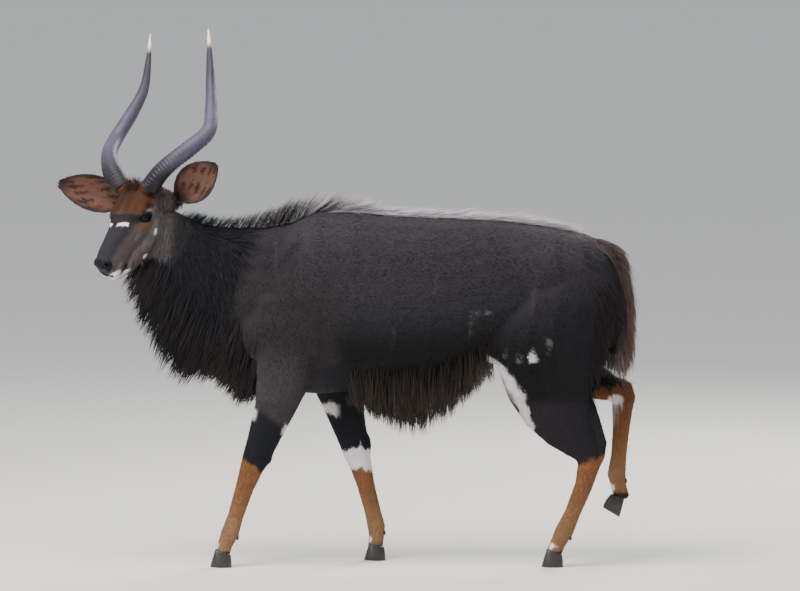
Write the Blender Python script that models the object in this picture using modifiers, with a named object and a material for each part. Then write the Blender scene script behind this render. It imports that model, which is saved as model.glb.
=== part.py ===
"""A nyala bull, life size, as a still museum model in mid stride with its head turned to its left.

Metres, +Z up. The animal faces -X, its left side is towards -Y, and the floor is Z 0.
The whole body is modelled first as overlapping masses, fused and smoothed, and is then parted
with thin cuts into head, neck, torso, legs, hooves and tail. Long hair is built as tapered locks
that are fused into the node they grow from.
"""

import math
import random

import bmesh
import bpy
import numpy as np
from mathutils import Matrix, Vector
from mathutils.bvhtree import BVHTree

GAP = 0.0003
SEAM = 0.0004
BODY_HALF_WIDTH = 0.180
TRACK_FORE = 0.095
TRACK_HIND = 0.088
HEAD_PITCH = math.radians(44)
HEAD_YAW = math.radians(58)
HEAD_ROLL = math.radians(8)
POLL = Vector((-0.919, -0.050, 1.178))
EYE = Vector((0.082, 0.0600, -0.040))
EYE_RADIUS = 0.0195
BODY_VOXEL = 0.006
LOCK_SOLVER = "EXACT"
HEAD_VOXEL = 0.0028
BODY_TRIANGLES = 4600
HEAD_TRIANGLES = 1750

COAT = (0.075, 0.066, 0.064)
DARK_HAIR = (0.030, 0.027, 0.030)
TAN = (0.42, 0.19, 0.08)
HORN = (0.16, 0.14, 0.15)
HOOF = (0.03, 0.028, 0.027)
EYEBALL = (0.02, 0.012, 0.01)
EAR_SKIN = (0.30, 0.18, 0.14)

left, right = -1, 1


def clear_scene():
    for thing in list(bpy.data.objects):
        bpy.data.objects.remove(thing)


def collection(name):
    made = bpy.data.collections.new(name)
    bpy.context.scene.collection.children.link(made)
    return made


def material(name, colour, roughness):
    made = bpy.data.materials.new(name)
    made.use_nodes = True
    shader = made.node_tree.nodes["Principled BSDF"]
    shader.inputs["Base Color"].default_value = (*colour, 1.0)
    shader.inputs["Roughness"].default_value = roughness
    shader.inputs["Metallic"].default_value = 0.0
    return made


def object_from(name, mesh):
    made = bpy.data.objects.new(name, mesh)
    bpy.context.scene.collection.objects.link(made)
    return made


def evaluated(thing):
    """The object's mesh with its modifiers, in a new object that takes its name and place."""
    bpy.context.view_layer.update()
    graph = bpy.context.evaluated_depsgraph_get()
    mesh = bpy.data.meshes.new_from_object(thing.evaluated_get(graph))
    name = thing.name
    mesh.transform(thing.matrix_world)
    bpy.data.objects.remove(thing)
    return object_from(name, mesh)


def section(top, bottom, half_width, side, widest=0.5, power=2.0, count=20):
    """Points round a body section that runs from top to bottom and bulges to both sides."""
    middle = bottom.lerp(top, widest)
    points = []
    for step in range(count):
        angle = math.tau * step / count
        up, across = math.cos(angle), math.sin(angle)
        rise = math.copysign(abs(up) ** (2 / power), up)
        reach = math.copysign(abs(across) ** (2 / power), across)
        end = top if rise > 0 else bottom
        points.append(middle + (end - middle) * abs(rise) + side * half_width * reach)
    return points


def loft(name, sections, pointed=False):
    """One closed skin through the sections. A pointed loft ends in its last section's middle."""
    shape = bmesh.new()
    count = len(sections[0])
    rows = [[shape.verts.new(point) for point in ring] for ring in sections]
    if pointed:
        tip = sum(sections[-1], Vector()) / count
        for vertex in rows.pop():
            shape.verts.remove(vertex)
        end = shape.verts.new(tip)
        for step in range(count):
            shape.faces.new((rows[-1][step], rows[-1][(step + 1) % count], end))
    else:
        shape.faces.new(rows[-1])
    shape.faces.new(reversed(rows[0]))
    for lower, upper in zip(rows, rows[1:]):
        for step in range(count):
            after = (step + 1) % count
            shape.faces.new((lower[step], lower[after], upper[after], upper[step]))
    bmesh.ops.recalc_face_normals(shape, faces=shape.faces)
    mesh = bpy.data.meshes.new(name)
    shape.to_mesh(mesh)
    shape.free()
    return object_from(name, mesh)


def ellipsoid(name, centre, radii, turn=(0, 0, 0), segments=20):
    bpy.ops.mesh.primitive_uv_sphere_add(segments=segments, ring_count=segments // 2, radius=1)
    made = bpy.context.object
    made.name = name
    spin = Matrix.LocRotScale(Vector(centre), None, None)
    for axis, angle in zip("XYZ", turn):
        spin = spin @ Matrix.Rotation(math.radians(angle), 4, axis)
    made.data.transform(spin @ Matrix.Diagonal((*radii, 1)))
    return made


def fused(name, pieces, voxel):
    """The pieces run together into one even skin."""
    shape = bmesh.new()
    for piece in pieces:
        shape.from_mesh(piece.data)
        bpy.data.objects.remove(piece)
    mesh = bpy.data.meshes.new(name)
    shape.to_mesh(mesh)
    shape.free()
    made = object_from(name, mesh)
    remesh = made.modifiers.new("even skin", "REMESH")
    remesh.mode = "VOXEL"
    remesh.voxel_size = voxel
    return evaluated(made)


def points_of(mesh):
    flat = np.empty(len(mesh.vertices) * 3)
    mesh.vertices.foreach_get("co", flat)
    return flat.reshape(-1, 3)


def smoothed(thing, rounds, strength):
    """Relaxes the skin without shrinking it. strength gives each point a share from 0 to 1."""
    mesh = thing.data
    points = points_of(mesh)
    ends = np.empty(len(mesh.edges) * 2, np.int64)
    mesh.edges.foreach_get("vertices", ends)
    ends = ends.reshape(-1, 2)
    degree = np.bincount(ends.ravel(), minlength=len(points)).reshape(-1, 1)
    share = strength(points).reshape(-1, 1)
    for turn in range(rounds * 2):
        total = np.zeros_like(points)
        for first, second in ((0, 1), (1, 0)):
            for axis in range(3):
                total[:, axis] += np.bincount(
                    ends[:, first], weights=points[ends[:, second], axis], minlength=len(points)
                )
        pull = 0.6 if turn % 2 == 0 else -0.56
        points = points + pull * share * (total / degree - points)
    mesh.vertices.foreach_set("co", points.ravel())
    mesh.update()


def thinned(thing, triangles):
    """The skin with fewer faces, most of them kept where it bends."""
    thing.data.calc_loop_triangles()
    fewer = thing.modifiers.new("fewer faces", "DECIMATE")
    fewer.ratio = min(1, triangles / len(thing.data.loop_triangles))
    fewer.use_collapse_triangulate = True
    return evaluated(thing)


def boolean(thing, other, operation, solver="MANIFOLD"):
    step = thing.modifiers.new(operation, "BOOLEAN")
    step.operation = operation
    step.solver = solver
    step.object = other
    return evaluated(thing)


def grown(thing, by):
    """A copy whose skin stands out by a small distance, to cut a neighbour clear."""
    made = object_from(thing.name + "_cutter", thing.data.copy())
    normals = np.empty(len(made.data.vertices) * 3)
    made.data.vertices.foreach_get("normal", normals)
    points = points_of(made.data) + normals.reshape(-1, 3) * by
    made.data.vertices.foreach_set("co", points.ravel())
    return made


def copy_of(thing, name):
    return object_from(name, thing.data.copy())


def largest(thing):
    """Keeps the object's largest closed surface."""
    shape = bmesh.new()
    shape.from_mesh(thing.data)
    left_over = set(shape.verts)
    islands = []
    while left_over:
        seed = left_over.pop()
        island, edge = {seed}, [seed]
        while edge:
            for link in edge.pop().link_edges:
                for vertex in link.verts:
                    if vertex not in island:
                        island.add(vertex)
                        edge.append(vertex)
        left_over -= island
        islands.append(island)
    keep = max(islands, key=len)
    spare = [vertex for vertex in shape.verts if vertex not in keep]
    bmesh.ops.delete(shape, geom=spare, context="VERTS")
    shape.to_mesh(thing.data)
    shape.free()
    return thing


def slab(name, corner, opposite, pivot=None, turn=0, axis="Y"):
    """A block between two corners, turned about a pivot, used only to cut."""
    bpy.ops.mesh.primitive_cube_add(size=1)
    made = bpy.context.object
    made.name = name
    low, high = Vector(corner), Vector(opposite)
    place = Matrix.Translation((low + high) / 2) @ Matrix.Diagonal((*(high - low), 1))
    if pivot is not None:
        about = Matrix.Translation(pivot)
        place = about @ Matrix.Rotation(math.radians(turn), 4, axis) @ about.inverted() @ place
    made.data.transform(place)
    return made


def trunk():
    """Ribs, belly, loin and rump: X, top, bottom, half width, height of the widest line."""
    wide = BODY_HALF_WIDTH
    stations = (
        (-0.618, 0.800, 0.690, 0.22 * wide, 0.50),
        (-0.590, 0.880, 0.620, 0.46 * wide, 0.50),
        (-0.525, 0.985, 0.565, 0.70 * wide, 0.47),
        (-0.445, 1.070, 0.538, 0.82 * wide, 0.44),
        (-0.355, 1.115, 0.532, 0.90 * wide, 0.42),
        (-0.240, 1.116, 0.538, 0.98 * wide, 0.42),
        (-0.120, 1.104, 0.546, 1.03 * wide, 0.42),
        (0.000, 1.098, 0.560, 1.04 * wide, 0.42),
        (0.100, 1.094, 0.590, 1.01 * wide, 0.43),
        (0.190, 1.090, 0.640, 0.95 * wide, 0.46),
        (0.290, 1.080, 0.685, 0.90 * wide, 0.50),
        (0.390, 1.065, 0.695, 0.87 * wide, 0.54),
        (0.480, 1.042, 0.715, 0.79 * wide, 0.54),
        (0.550, 1.000, 0.760, 0.60 * wide, 0.52),
        (0.592, 0.945, 0.820, 0.36 * wide, 0.50),
    )
    across = Vector((0, 1, 0))
    return loft(
        "trunk",
        [
            section(Vector((x, 0, top)), Vector((x, 0, low)), half, across, widest, 2.15, 28)
            for x, top, low, half, widest in stations
        ],
    )


def neck_core():
    """The neck from the shoulders to the skull: crest point, throat point, side shift, half width."""
    stations = (
        ((-0.340, 1.100), (-0.430, 0.570), 0.000, 0.140),
        ((-0.430, 1.078), (-0.580, 0.605), 0.000, 0.128),
        ((-0.520, 1.060), (-0.672, 0.660), 0.000, 0.112),
        ((-0.605, 1.052), (-0.742, 0.725), -0.002, 0.099),
        ((-0.680, 1.060), (-0.797, 0.790), -0.006, 0.090),
        ((-0.745, 1.084), (-0.842, 0.850), -0.010, 0.083),
        ((-0.802, 1.112), (-0.880, 0.908), -0.010, 0.077),
        ((-0.846, 1.134), (-0.912, 0.962), -0.010, 0.068),
        ((-0.882, 1.128), (-0.928, 1.008), -0.012, 0.048),
    )
    turn = math.radians(40)
    rings = []
    for index, (crest, throat, shift, half) in enumerate(stations):
        yaw = turn * (index / (len(stations) - 1)) ** 2
        across = Vector((-math.sin(yaw), math.cos(yaw), 0))
        top = Vector((crest[0], shift, crest[1]))
        bottom = Vector((throat[0], shift, throat[1]))
        rings.append(section(top, bottom, half, across, 0.45, 2.1, 24))
    return loft("neck_core", rings)


def limb(name, stations, count=16):
    """A leg through its stations: X, Y, Z, half depth fore and aft, half width."""
    middles = [Vector(station[:3]) for station in stations]
    rings = []
    for index, (_, _, _, depth, half) in enumerate(stations):
        before, after = middles[max(index - 1, 0)], middles[min(index + 1, len(middles) - 1)]
        run = (after - before).normalized()
        across = Vector((0, 1, 0))
        ahead = across.cross(run).normalized()
        middle = middles[index]
        rings.append(
            section(middle + ahead * depth, middle - ahead * depth, half, across, 0.5, 2.1, count)
        )
    return loft(name, rings)


FORE_LEFT = (
    (-0.440, -0.092, 0.840, 0.115, 0.046),
    (-0.452, -0.108, 0.740, 0.116, 0.052),
    (-0.448, -0.115, 0.650, 0.100, 0.052),
    (-0.464, -0.114, 0.570, 0.084, 0.047),
    (-0.484, -0.114, 0.500, 0.067, 0.042),
    (-0.507, -0.108, 0.440, 0.057, 0.038),
    (-0.526, -0.104, 0.388, 0.049, 0.035),
    (-0.541, -0.100, 0.348, 0.045, 0.034),
    (-0.558, -0.098, 0.308, 0.037, 0.030),
    (-0.580, -0.096, 0.245, 0.0295, 0.0240),
    (-0.607, -0.095, 0.160, 0.0255, 0.0220),
    (-0.624, -0.095, 0.108, 0.0290, 0.0250),
    (-0.639, -0.095, 0.074, 0.0245, 0.0228),
    (-0.650, -0.095, 0.040, 0.0248, 0.0226),
)

FORE_RIGHT = (
    (-0.400, 0.092, 0.840, 0.115, 0.046),
    (-0.375, 0.108, 0.740, 0.116, 0.052),
    (-0.330, 0.115, 0.650, 0.098, 0.052),
    (-0.296, 0.114, 0.570, 0.080, 0.047),
    (-0.275, 0.114, 0.500, 0.068, 0.041),
    (-0.258, 0.108, 0.440, 0.058, 0.038),
    (-0.242, 0.104, 0.384, 0.049, 0.035),
    (-0.231, 0.100, 0.345, 0.044, 0.034),
    (-0.219, 0.098, 0.305, 0.036, 0.030),
    (-0.202, 0.096, 0.240, 0.0290, 0.0240),
    (-0.180, 0.095, 0.155, 0.0265, 0.0222),
    (-0.168, 0.095, 0.106, 0.0290, 0.0250),
    (-0.168, 0.095, 0.072, 0.0245, 0.0228),
    (-0.172, 0.095, 0.040, 0.0248, 0.0226),
)

HIND_LEFT = (
    (0.420, -0.080, 0.960, 0.140, 0.060),
    (0.402, -0.098, 0.840, 0.166, 0.068),
    (0.378, -0.112, 0.730, 0.178, 0.066),
    (0.368, -0.118, 0.640, 0.170, 0.060),
    (0.380, -0.118, 0.560, 0.144, 0.053),
    (0.402, -0.114, 0.490, 0.114, 0.045),
    (0.434, -0.109, 0.430, 0.082, 0.038),
    (0.470, -0.104, 0.385, 0.056, 0.031),
    (0.494, -0.101, 0.352, 0.044, 0.028),
    (0.495, -0.099, 0.318, 0.036, 0.026),
    (0.479, -0.096, 0.255, 0.0290, 0.0240),
    (0.445, -0.091, 0.170, 0.0258, 0.0222),
    (0.419, -0.089, 0.112, 0.0300, 0.0250),
    (0.400, -0.088, 0.076, 0.0250, 0.0230),
    (0.385, -0.088, 0.040, 0.0250, 0.0228),
)

HIND_RIGHT = (
    (0.420, 0.080, 0.960, 0.140, 0.060),
    (0.402, 0.098, 0.840, 0.165, 0.068),
    (0.385, 0.112, 0.740, 0.165, 0.066),
    (0.395, 0.120, 0.665, 0.135, 0.058),
    (0.435, 0.120, 0.608, 0.096, 0.048),
    (0.490, 0.116, 0.570, 0.066, 0.039),
    (0.545, 0.110, 0.548, 0.049, 0.032),
    (0.588, 0.105, 0.534, 0.041, 0.029),
    (0.606, 0.102, 0.505, 0.040, 0.028),
    (0.604, 0.100, 0.470, 0.035, 0.026),
    (0.600, 0.098, 0.410, 0.0285, 0.0240),
    (0.593, 0.096, 0.330, 0.0258, 0.0222),
    (0.586, 0.095, 0.270, 0.0300, 0.0250),
    (0.594, 0.095, 0.232, 0.0250, 0.0230),
    (0.604, 0.095, 0.194, 0.0250, 0.0228),
)


def heel_bones():
    """The point of each hock and the tendon that runs down to it."""
    return [
        limb(
            "tendon_left",
            (
                (0.500, -0.108, 0.500, 0.022, 0.014),
                (0.524, -0.104, 0.430, 0.018, 0.013),
                (0.534, -0.101, 0.392, 0.019, 0.017),
                (0.526, -0.100, 0.352, 0.022, 0.019),
                (0.507, -0.099, 0.310, 0.020, 0.017),
            ),
        ),
        limb(
            "tendon_right",
            (
                (0.520, 0.114, 0.585, 0.020, 0.014),
                (0.585, 0.108, 0.566, 0.016, 0.013),
                (0.622, 0.103, 0.550, 0.018, 0.016),
                (0.630, 0.101, 0.515, 0.020, 0.018),
                (0.620, 0.100, 0.470, 0.018, 0.016),
            ),
        ),
        ellipsoid("knee_back_left", (-0.505, -0.099, 0.366), (0.017, 0.017, 0.044)),
        ellipsoid("knee_back_right", (-0.200, 0.099, 0.360), (0.017, 0.017, 0.044)),
    ]


def muscle_masses():
    """Shoulder blades, upper arms, haunches and buttocks."""
    made = []
    for side, arm in ((left, -0.455), (right, -0.405)):
        made += [
            ellipsoid("blade", (-0.425, side * 0.086, 0.850), (0.110, 0.044, 0.190), (0, 14, 0)),
            ellipsoid("upper_arm", (arm, side * 0.108, 0.720), (0.135, 0.052, 0.110)),
            ellipsoid("haunch", (0.415, side * 0.078, 0.865), (0.165, 0.074, 0.155)),
            ellipsoid("buttock", (0.520, side * 0.062, 0.820), (0.080, 0.055, 0.145)),
            ellipsoid("flank", (0.215, side * 0.086, 0.735), (0.115, 0.044, 0.105)),
        ]
    return made


def body_softness(points):
    """More smoothing on the trunk, little on the thin lower legs."""
    return np.clip((points[:, 2] - 0.30) / 0.30, 0.12, 1.0)


def whole_body():
    pieces = [trunk(), neck_core()]
    pieces += [
        limb("fore_left", FORE_LEFT),
        limb("fore_right", FORE_RIGHT),
        limb("hind_left", HIND_LEFT),
        limb("hind_right", HIND_RIGHT),
    ]
    pieces += heel_bones() + muscle_masses()
    pieces += [
        fringe("throat_fringe", THROAT_ROOTS, THROAT_TIPS, 0.38, 0.054),
        fringe("belly_fringe", BELLY_ROOTS, BELLY_TIPS, 0.38, 0.064),
        fringe("crest", CREST_ROOTS, CREST_TIPS, 0.34, 0.024),
    ]
    body = fused("body", pieces, BODY_VOXEL)
    smoothed(body, 45, body_softness)
    return body


def head_matrix():
    """The head's own frame: +X along the face to the nose, +Y to its left, +Z out of the brow."""
    ahead = Vector(
        (
            -math.cos(HEAD_PITCH) * math.cos(HEAD_YAW),
            -math.cos(HEAD_PITCH) * math.sin(HEAD_YAW),
            -math.sin(HEAD_PITCH),
        )
    )
    up = Vector(
        (
            -math.sin(HEAD_PITCH) * math.cos(HEAD_YAW),
            -math.sin(HEAD_PITCH) * math.sin(HEAD_YAW),
            math.cos(HEAD_PITCH),
        )
    )
    side = up.cross(ahead)
    roll = Matrix.Rotation(HEAD_ROLL, 3, ahead)
    up, side = roll @ up, roll @ side
    place = Matrix((ahead, side, up)).transposed().to_4x4()
    place.translation = POLL
    return place


def in_head(thing):
    thing.data.transform(head_matrix())
    return thing


def skull():
    """The upper head from poll to nose: station, brow line, palate line, half width."""
    stations = (
        (-0.064, -0.040, -0.100, 0.034),
        (-0.045, -0.012, -0.120, 0.051),
        (-0.015, 0.008, -0.126, 0.061),
        (0.020, 0.016, -0.122, 0.066),
        (0.055, 0.017, -0.116, 0.068),
        (0.085, 0.015, -0.112, 0.065),
        (0.115, 0.011, -0.110, 0.054),
        (0.145, 0.008, -0.108, 0.045),
        (0.180, 0.007, -0.106, 0.039),
        (0.215, 0.006, -0.104, 0.0355),
        (0.245, 0.004, -0.098, 0.0340),
        (0.270, -0.002, -0.090, 0.0325),
        (0.288, -0.010, -0.082, 0.0280),
        (0.303, -0.022, -0.068, 0.0165),
    )
    across = Vector((0, 1, 0))
    return loft(
        "skull",
        [
            section(Vector((u, 0, top)), Vector((u, 0, low)), half, across, 0.56, 2.3, 24)
            for u, top, low, half in stations
        ],
    )


def jaw():
    """The lower jaw from its angle to the chin."""
    stations = (
        (-0.012, -0.085, -0.146, 0.032),
        (0.020, -0.085, -0.160, 0.043),
        (0.070, -0.085, -0.166, 0.042),
        (0.120, -0.095, -0.164, 0.036),
        (0.170, -0.100, -0.156, 0.030),
        (0.215, -0.100, -0.142, 0.026),
        (0.250, -0.094, -0.124, 0.024),
        (0.276, -0.088, -0.110, 0.020),
        (0.290, -0.084, -0.098, 0.012),
    )
    across = Vector((0, 1, 0))
    return loft(
        "jaw",
        [
            section(Vector((u, 0, top)), Vector((u, 0, low)), half, across, 0.5, 2.1, 20)
            for u, top, low, half in stations
        ],
    )


def face_masses():
    """Brows, cheek bones, chewing muscles, lips, nose wings, eyelids and horn and ear bases."""
    made = [ellipsoid("nose_pad", (0.286, 0, -0.030), (0.020, 0.0275, 0.024))]
    for side in (1, -1):
        lid = EYE_RADIUS + 0.0034
        made += [
            ellipsoid("brow", (0.070, side * 0.050, -0.017), (0.040, 0.020, 0.017), (0, 6, 0)),
            ellipsoid("eyelid", (EYE.x, side * EYE.y * 0.90, EYE.z), (lid, lid, lid)),
            ellipsoid("cheek_bone", (0.105, side * 0.040, -0.064), (0.062, 0.013, 0.014)),
            ellipsoid("chewing", (0.040, side * 0.043, -0.108), (0.060, 0.025, 0.048)),
            ellipsoid("upper_lip", (0.262, side * 0.021, -0.070), (0.036, 0.0150, 0.018)),
            ellipsoid("nose_wing", (0.282, side * 0.0180, -0.024), (0.0175, 0.0130, 0.0150)),
            ellipsoid("horn_seat", (-0.008, side * 0.047, 0.004), (0.032, 0.027, 0.020)),
            ellipsoid("ear_seat", (-0.032, side * 0.056, -0.084), (0.028, 0.028, 0.036)),
        ]
    return made


def face_cuts(head):
    """Eyeball hollows, lid openings, nostrils and the line of the mouth."""
    for side in (1, -1):
        middle = Vector((EYE.x, side * EYE.y * 0.90, EYE.z))
        hollow = EYE_RADIUS + GAP
        head = boolean(head, ellipsoid("hollow", middle, (hollow,) * 3, segments=12), "DIFFERENCE")
        opening = middle + Vector((0.006, side * 0.020, 0.003))
        slant = (side * -8, -34, side * -16)
        head = boolean(
            head, ellipsoid("lids", opening, (0.0172, 0.0165, 0.0112), slant, 16), "DIFFERENCE"
        )
        pit = ellipsoid(
            "nostril", (0.2925, side * 0.0210, -0.0240), (0.0100, 0.0046, 0.0080), (0, 20, side * 32), 12
        )
        head = boolean(head, pit, "DIFFERENCE")
    lip_line = (
        (0.208, -0.1110, 0.0004),
        (0.224, -0.1100, 0.0010),
        (0.264, -0.0945, 0.0010),
        (0.281, -0.0875, 0.0010),
        (0.312, -0.0780, 0.0010),
    )
    across = Vector((0, 1, 0))
    slit = loft(
        "slit",
        [
            section(Vector((u, 0, w + half)), Vector((u, 0, w - half)), 0.06, across, 0.5, 8, 8)
            for u, w, half in lip_line
        ],
    )
    head = boolean(head, slit, "DIFFERENCE")
    return head


def whole_head():
    head = fused("head", [skull(), jaw()] + face_masses(), HEAD_VOXEL)
    smoothed(head, 9, lambda points: np.clip((0.30 - points[:, 0]) / 0.12, 0.35, 1.0))
    return thinned(head, HEAD_TRIANGLES)


HORN_LINE = (
    (-0.008, 0.052, -0.004),
    (-0.040, 0.086, 0.018),
    (-0.080, 0.122, 0.028),
    (-0.150, 0.166, 0.024),
    (-0.228, 0.186, 0.010),
    (-0.310, 0.163, 0.024),
    (-0.392, 0.136, 0.050),
    (-0.466, 0.125, 0.096),
    (-0.537, 0.118, 0.150),
)
HORN_TWIST = math.radians(300)
HORN_RADII = (0.030, 0.0285, 0.0268, 0.0245, 0.0225, 0.0195, 0.0150, 0.0095, 0.0015)


def along(points, share):
    """A smooth run through the points: the place at a share of it from 0 to 1."""
    spans = len(points) - 1
    index = min(int(share * spans), spans - 1)
    step = share * spans - index
    ends = [points[min(max(index + shift, 0), spans)] for shift in (-1, 0, 1, 2)]
    first, second, third, fourth = (Vector(point) for point in ends)
    return 0.5 * (
        second * 2
        + (third - first) * step
        + (first * 2 - second * 5 + third * 4 - fourth) * step**2
        + (second * 3 - first - third * 3 + fourth) * step**3
    )


def horn(name, side, rings=19, count=10):
    """A spiral horn with a keel along its front that winds once, and shallow rings near its base."""
    line = [(u, side * v, w) for u, v, w in HORN_LINE]
    sections = []
    front = Vector((0.3, side * 0.2, 1.0))
    for index in range(rings):
        share = index / (rings - 1)
        middle = along(line, share)
        run = (along(line, min(share + 0.02, 1)) - along(line, max(share - 0.02, 0))).normalized()
        front = (front - run * front.dot(run)).normalized()
        other = run.cross(front)
        radius = float(np.interp(share, np.linspace(0, 1, len(HORN_RADII)), HORN_RADII))
        if 0.05 < share < 0.45:
            radius *= 1 + 0.025 * (-1) ** index
        ring = []
        for step in range(count):
            angle = math.tau * step / count
            keel = 1 + 0.16 * max(0, math.cos(angle - side * HORN_TWIST * share)) ** 6
            ring.append(middle + (front * math.cos(angle) + other * math.sin(angle)) * radius * keel)
        sections.append(ring)
    return in_head(loft(name, sections, pointed=True))


EAR_LENGTH = {1: 0.236, -1: 0.256}
EAR_AXIS = {1: Vector((-0.21, 0.89, 0.40)), -1: Vector((0.20, -0.76, 0.66))}
EAR_MOUTH = {1: Vector((0.87, 0.03, 0.49)), -1: Vector((0.74, 0.55, 0.38))}
EAR_ROOT = Vector((-0.040, 0.072, -0.100))
EAR_HALF_ARC = (0.018, 0.040, 0.058, 0.068, 0.071, 0.067, 0.056, 0.038, 0.011)
EAR_OPENING = (150, 118, 88, 70, 60, 54, 50, 46, 40)


def ear(name, side, across=9, rows=9):
    """A thin leaf rolled to a funnel at its root and open towards the front."""
    axis = EAR_AXIS[side].normalized()
    mouth = (EAR_MOUTH[side] - axis * EAR_MOUTH[side].dot(axis)).normalized()
    width = axis.cross(mouth)
    root = Vector((EAR_ROOT.x, side * EAR_ROOT.y, EAR_ROOT.z))
    shape = bmesh.new()
    grid = []
    for row in range(rows):
        share = row / (rows - 1)
        at = share * (len(EAR_HALF_ARC) - 1)
        half = float(np.interp(at, range(len(EAR_HALF_ARC)), EAR_HALF_ARC))
        bend = math.radians(float(np.interp(at, range(len(EAR_OPENING)), EAR_OPENING)))
        radius = half / bend
        back = root + axis * (share * EAR_LENGTH[side]) - mouth * (0.016 - 0.05 * (share - 0.35) ** 2)
        line = []
        for step in range(across):
            turn = bend * (2 * step / (across - 1) - 1)
            lean = width * radius * math.sin(turn) + mouth * radius * (1 - math.cos(turn))
            line.append(shape.verts.new(back + lean))
        grid.append(line)
    for lower, upper in zip(grid, grid[1:]):
        for step in range(across - 1):
            shape.faces.new((lower[step], lower[step + 1], upper[step + 1], upper[step]))
    mesh = bpy.data.meshes.new(name)
    shape.to_mesh(mesh)
    shape.free()
    made = object_from(name, mesh)
    skin = made.modifiers.new("ear skin", "SOLIDIFY")
    skin.thickness = 0.0042
    skin.offset = 0
    skin.use_even_offset = True
    made = evaluated(made)
    shape = bmesh.new()
    shape.from_mesh(made.data)
    bmesh.ops.recalc_face_normals(shape, faces=shape.faces)
    shape.to_mesh(made.data)
    shape.free()
    return in_head(made)


def eyeball(name, side):
    middle = (EYE.x, side * EYE.y * 0.90, EYE.z)
    return in_head(ellipsoid(name, middle, (EYE_RADIUS,) * 3, segments=12))


TAIL = (
    (0.470, 0, 1.012, 0.016, 0.020),
    (0.520, 0, 1.010, 0.020, 0.024),
    (0.562, 0, 0.994, 0.024, 0.030),
    (0.589, 0, 0.955, 0.027, 0.036),
    (0.603, 0, 0.900, 0.030, 0.044),
    (0.610, 0, 0.820, 0.033, 0.049),
    (0.608, 0, 0.740, 0.033, 0.048),
    (0.598, 0, 0.678, 0.028, 0.040),
    (0.582, 0, 0.628, 0.016, 0.024),
    (0.572, 0, 0.600, 0.004, 0.006),
)


def claw(name, side):
    """One half of a cloven hoof in the foot's own frame: toe towards -X, sole on Z 0."""
    stations = (
        (0.0300, 0.000, 0.018, 0.0070),
        (0.0262, 0.000, 0.042, 0.0105),
        (0.0000, 0.000, 0.054, 0.0122),
        (-0.0200, 0.000, 0.058, 0.0100),
        (-0.0295, 0.000, 0.026, 0.0064),
        (-0.0365, 0.000, 0.004, 0.0020),
    )
    rings = []
    for x, low, top, half in stations:
        inner = side * 0.0010
        flare = 1.12
        rings.append(
            [
                Vector((x, inner, low)),
                Vector((x, inner + side * half * 2 * flare, low)),
                Vector((x, inner + side * half * 2 * 1.06, top * 0.55)),
                Vector((x, inner + side * half * 1.75, top * 0.90)),
                Vector((x, inner + side * half * 1.00, top)),
                Vector((x, inner, top * 0.93)),
            ]
        )
    return loft(name, rings)


FEET = {
    "fore_left": (Vector((-0.650, -TRACK_FORE, 0)), 0),
    "fore_right": (Vector((-0.170, TRACK_FORE, 0)), 0),
    "hind_left": (Vector((0.385, -TRACK_HIND, 0)), 0),
    "hind_right": (Vector((0.604, TRACK_FORE, 0.172)), -76),
}


def foot_place(foot):
    spot, turn = FEET[foot]
    return Matrix.Translation(spot) @ Matrix.Rotation(math.radians(turn), 4, "Y")


def fringe(name, roots, tips, share, half_root):
    """A blade of hair that hangs from the roots towards the tips."""
    rings = []
    for root, tip in zip(roots, tips):
        root, tip = Vector(root), Vector(tip)
        reach = root.lerp(tip, share)
        rings.append(section(root, reach, half_root, Vector((0, 1, 0)), 0.72, 1.5, 16))
    return loft(name, rings)


THROAT_ROOTS = (
    (-0.900, -0.022, 1.000),
    (-0.888, -0.018, 0.955),
    (-0.856, -0.012, 0.893),
    (-0.812, -0.008, 0.832),
    (-0.760, -0.004, 0.772),
    (-0.700, 0.000, 0.712),
    (-0.645, 0.000, 0.672),
    (-0.590, 0.000, 0.645),
    (-0.540, 0.000, 0.625),
    (-0.495, 0.000, 0.610),
)
THROAT_TIPS = (
    (-0.955, -0.040, 0.905),
    (-0.952, -0.036, 0.862),
    (-0.925, -0.026, 0.780),
    (-0.885, -0.018, 0.690),
    (-0.838, -0.010, 0.615),
    (-0.782, -0.004, 0.564),
    (-0.712, 0.000, 0.583),
    (-0.655, 0.000, 0.556),
    (-0.600, 0.000, 0.503),
    (-0.550, 0.000, 0.515),
)
BELLY_ROOTS = (
    (-0.250, 0, 0.585),
    (-0.190, 0, 0.595),
    (-0.120, 0, 0.600),
    (-0.055, 0, 0.606),
    (0.010, 0, 0.616),
    (0.070, 0, 0.632),
    (0.120, 0, 0.652),
    (0.165, 0, 0.680),
)
BELLY_TIPS = (
    (-0.240, 0, 0.510),
    (-0.190, 0, 0.480),
    (-0.120, 0, 0.437),
    (-0.050, 0, 0.420),
    (0.008, 0, 0.447),
    (0.077, 0, 0.490),
    (0.137, 0, 0.550),
    (0.172, 0, 0.610),
)
CREST_ROOTS = (
    (-0.820, -0.010, 1.092),
    (-0.740, -0.010, 1.060),
    (-0.650, -0.004, 1.036),
    (-0.550, 0.000, 1.030),
    (-0.450, 0.000, 1.050),
    (-0.350, 0.000, 1.082),
    (-0.200, 0.000, 1.088),
    (0.000, 0.000, 1.074),
    (0.200, 0.000, 1.064),
    (0.340, 0.000, 1.044),
    (0.415, 0.000, 1.022),
)
CREST_TIPS = (
    (-0.765, -0.010, 1.124),
    (-0.685, -0.006, 1.102),
    (-0.592, -0.002, 1.095),
    (-0.484, 0.000, 1.112),
    (-0.375, 0.000, 1.150),
    (-0.270, 0.000, 1.154),
    (-0.110, 0.000, 1.128),
    (0.095, 0.000, 1.112),
    (0.290, 0.000, 1.098),
    (0.425, 0.000, 1.068),
    (0.490, 0.000, 1.040),
)


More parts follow.
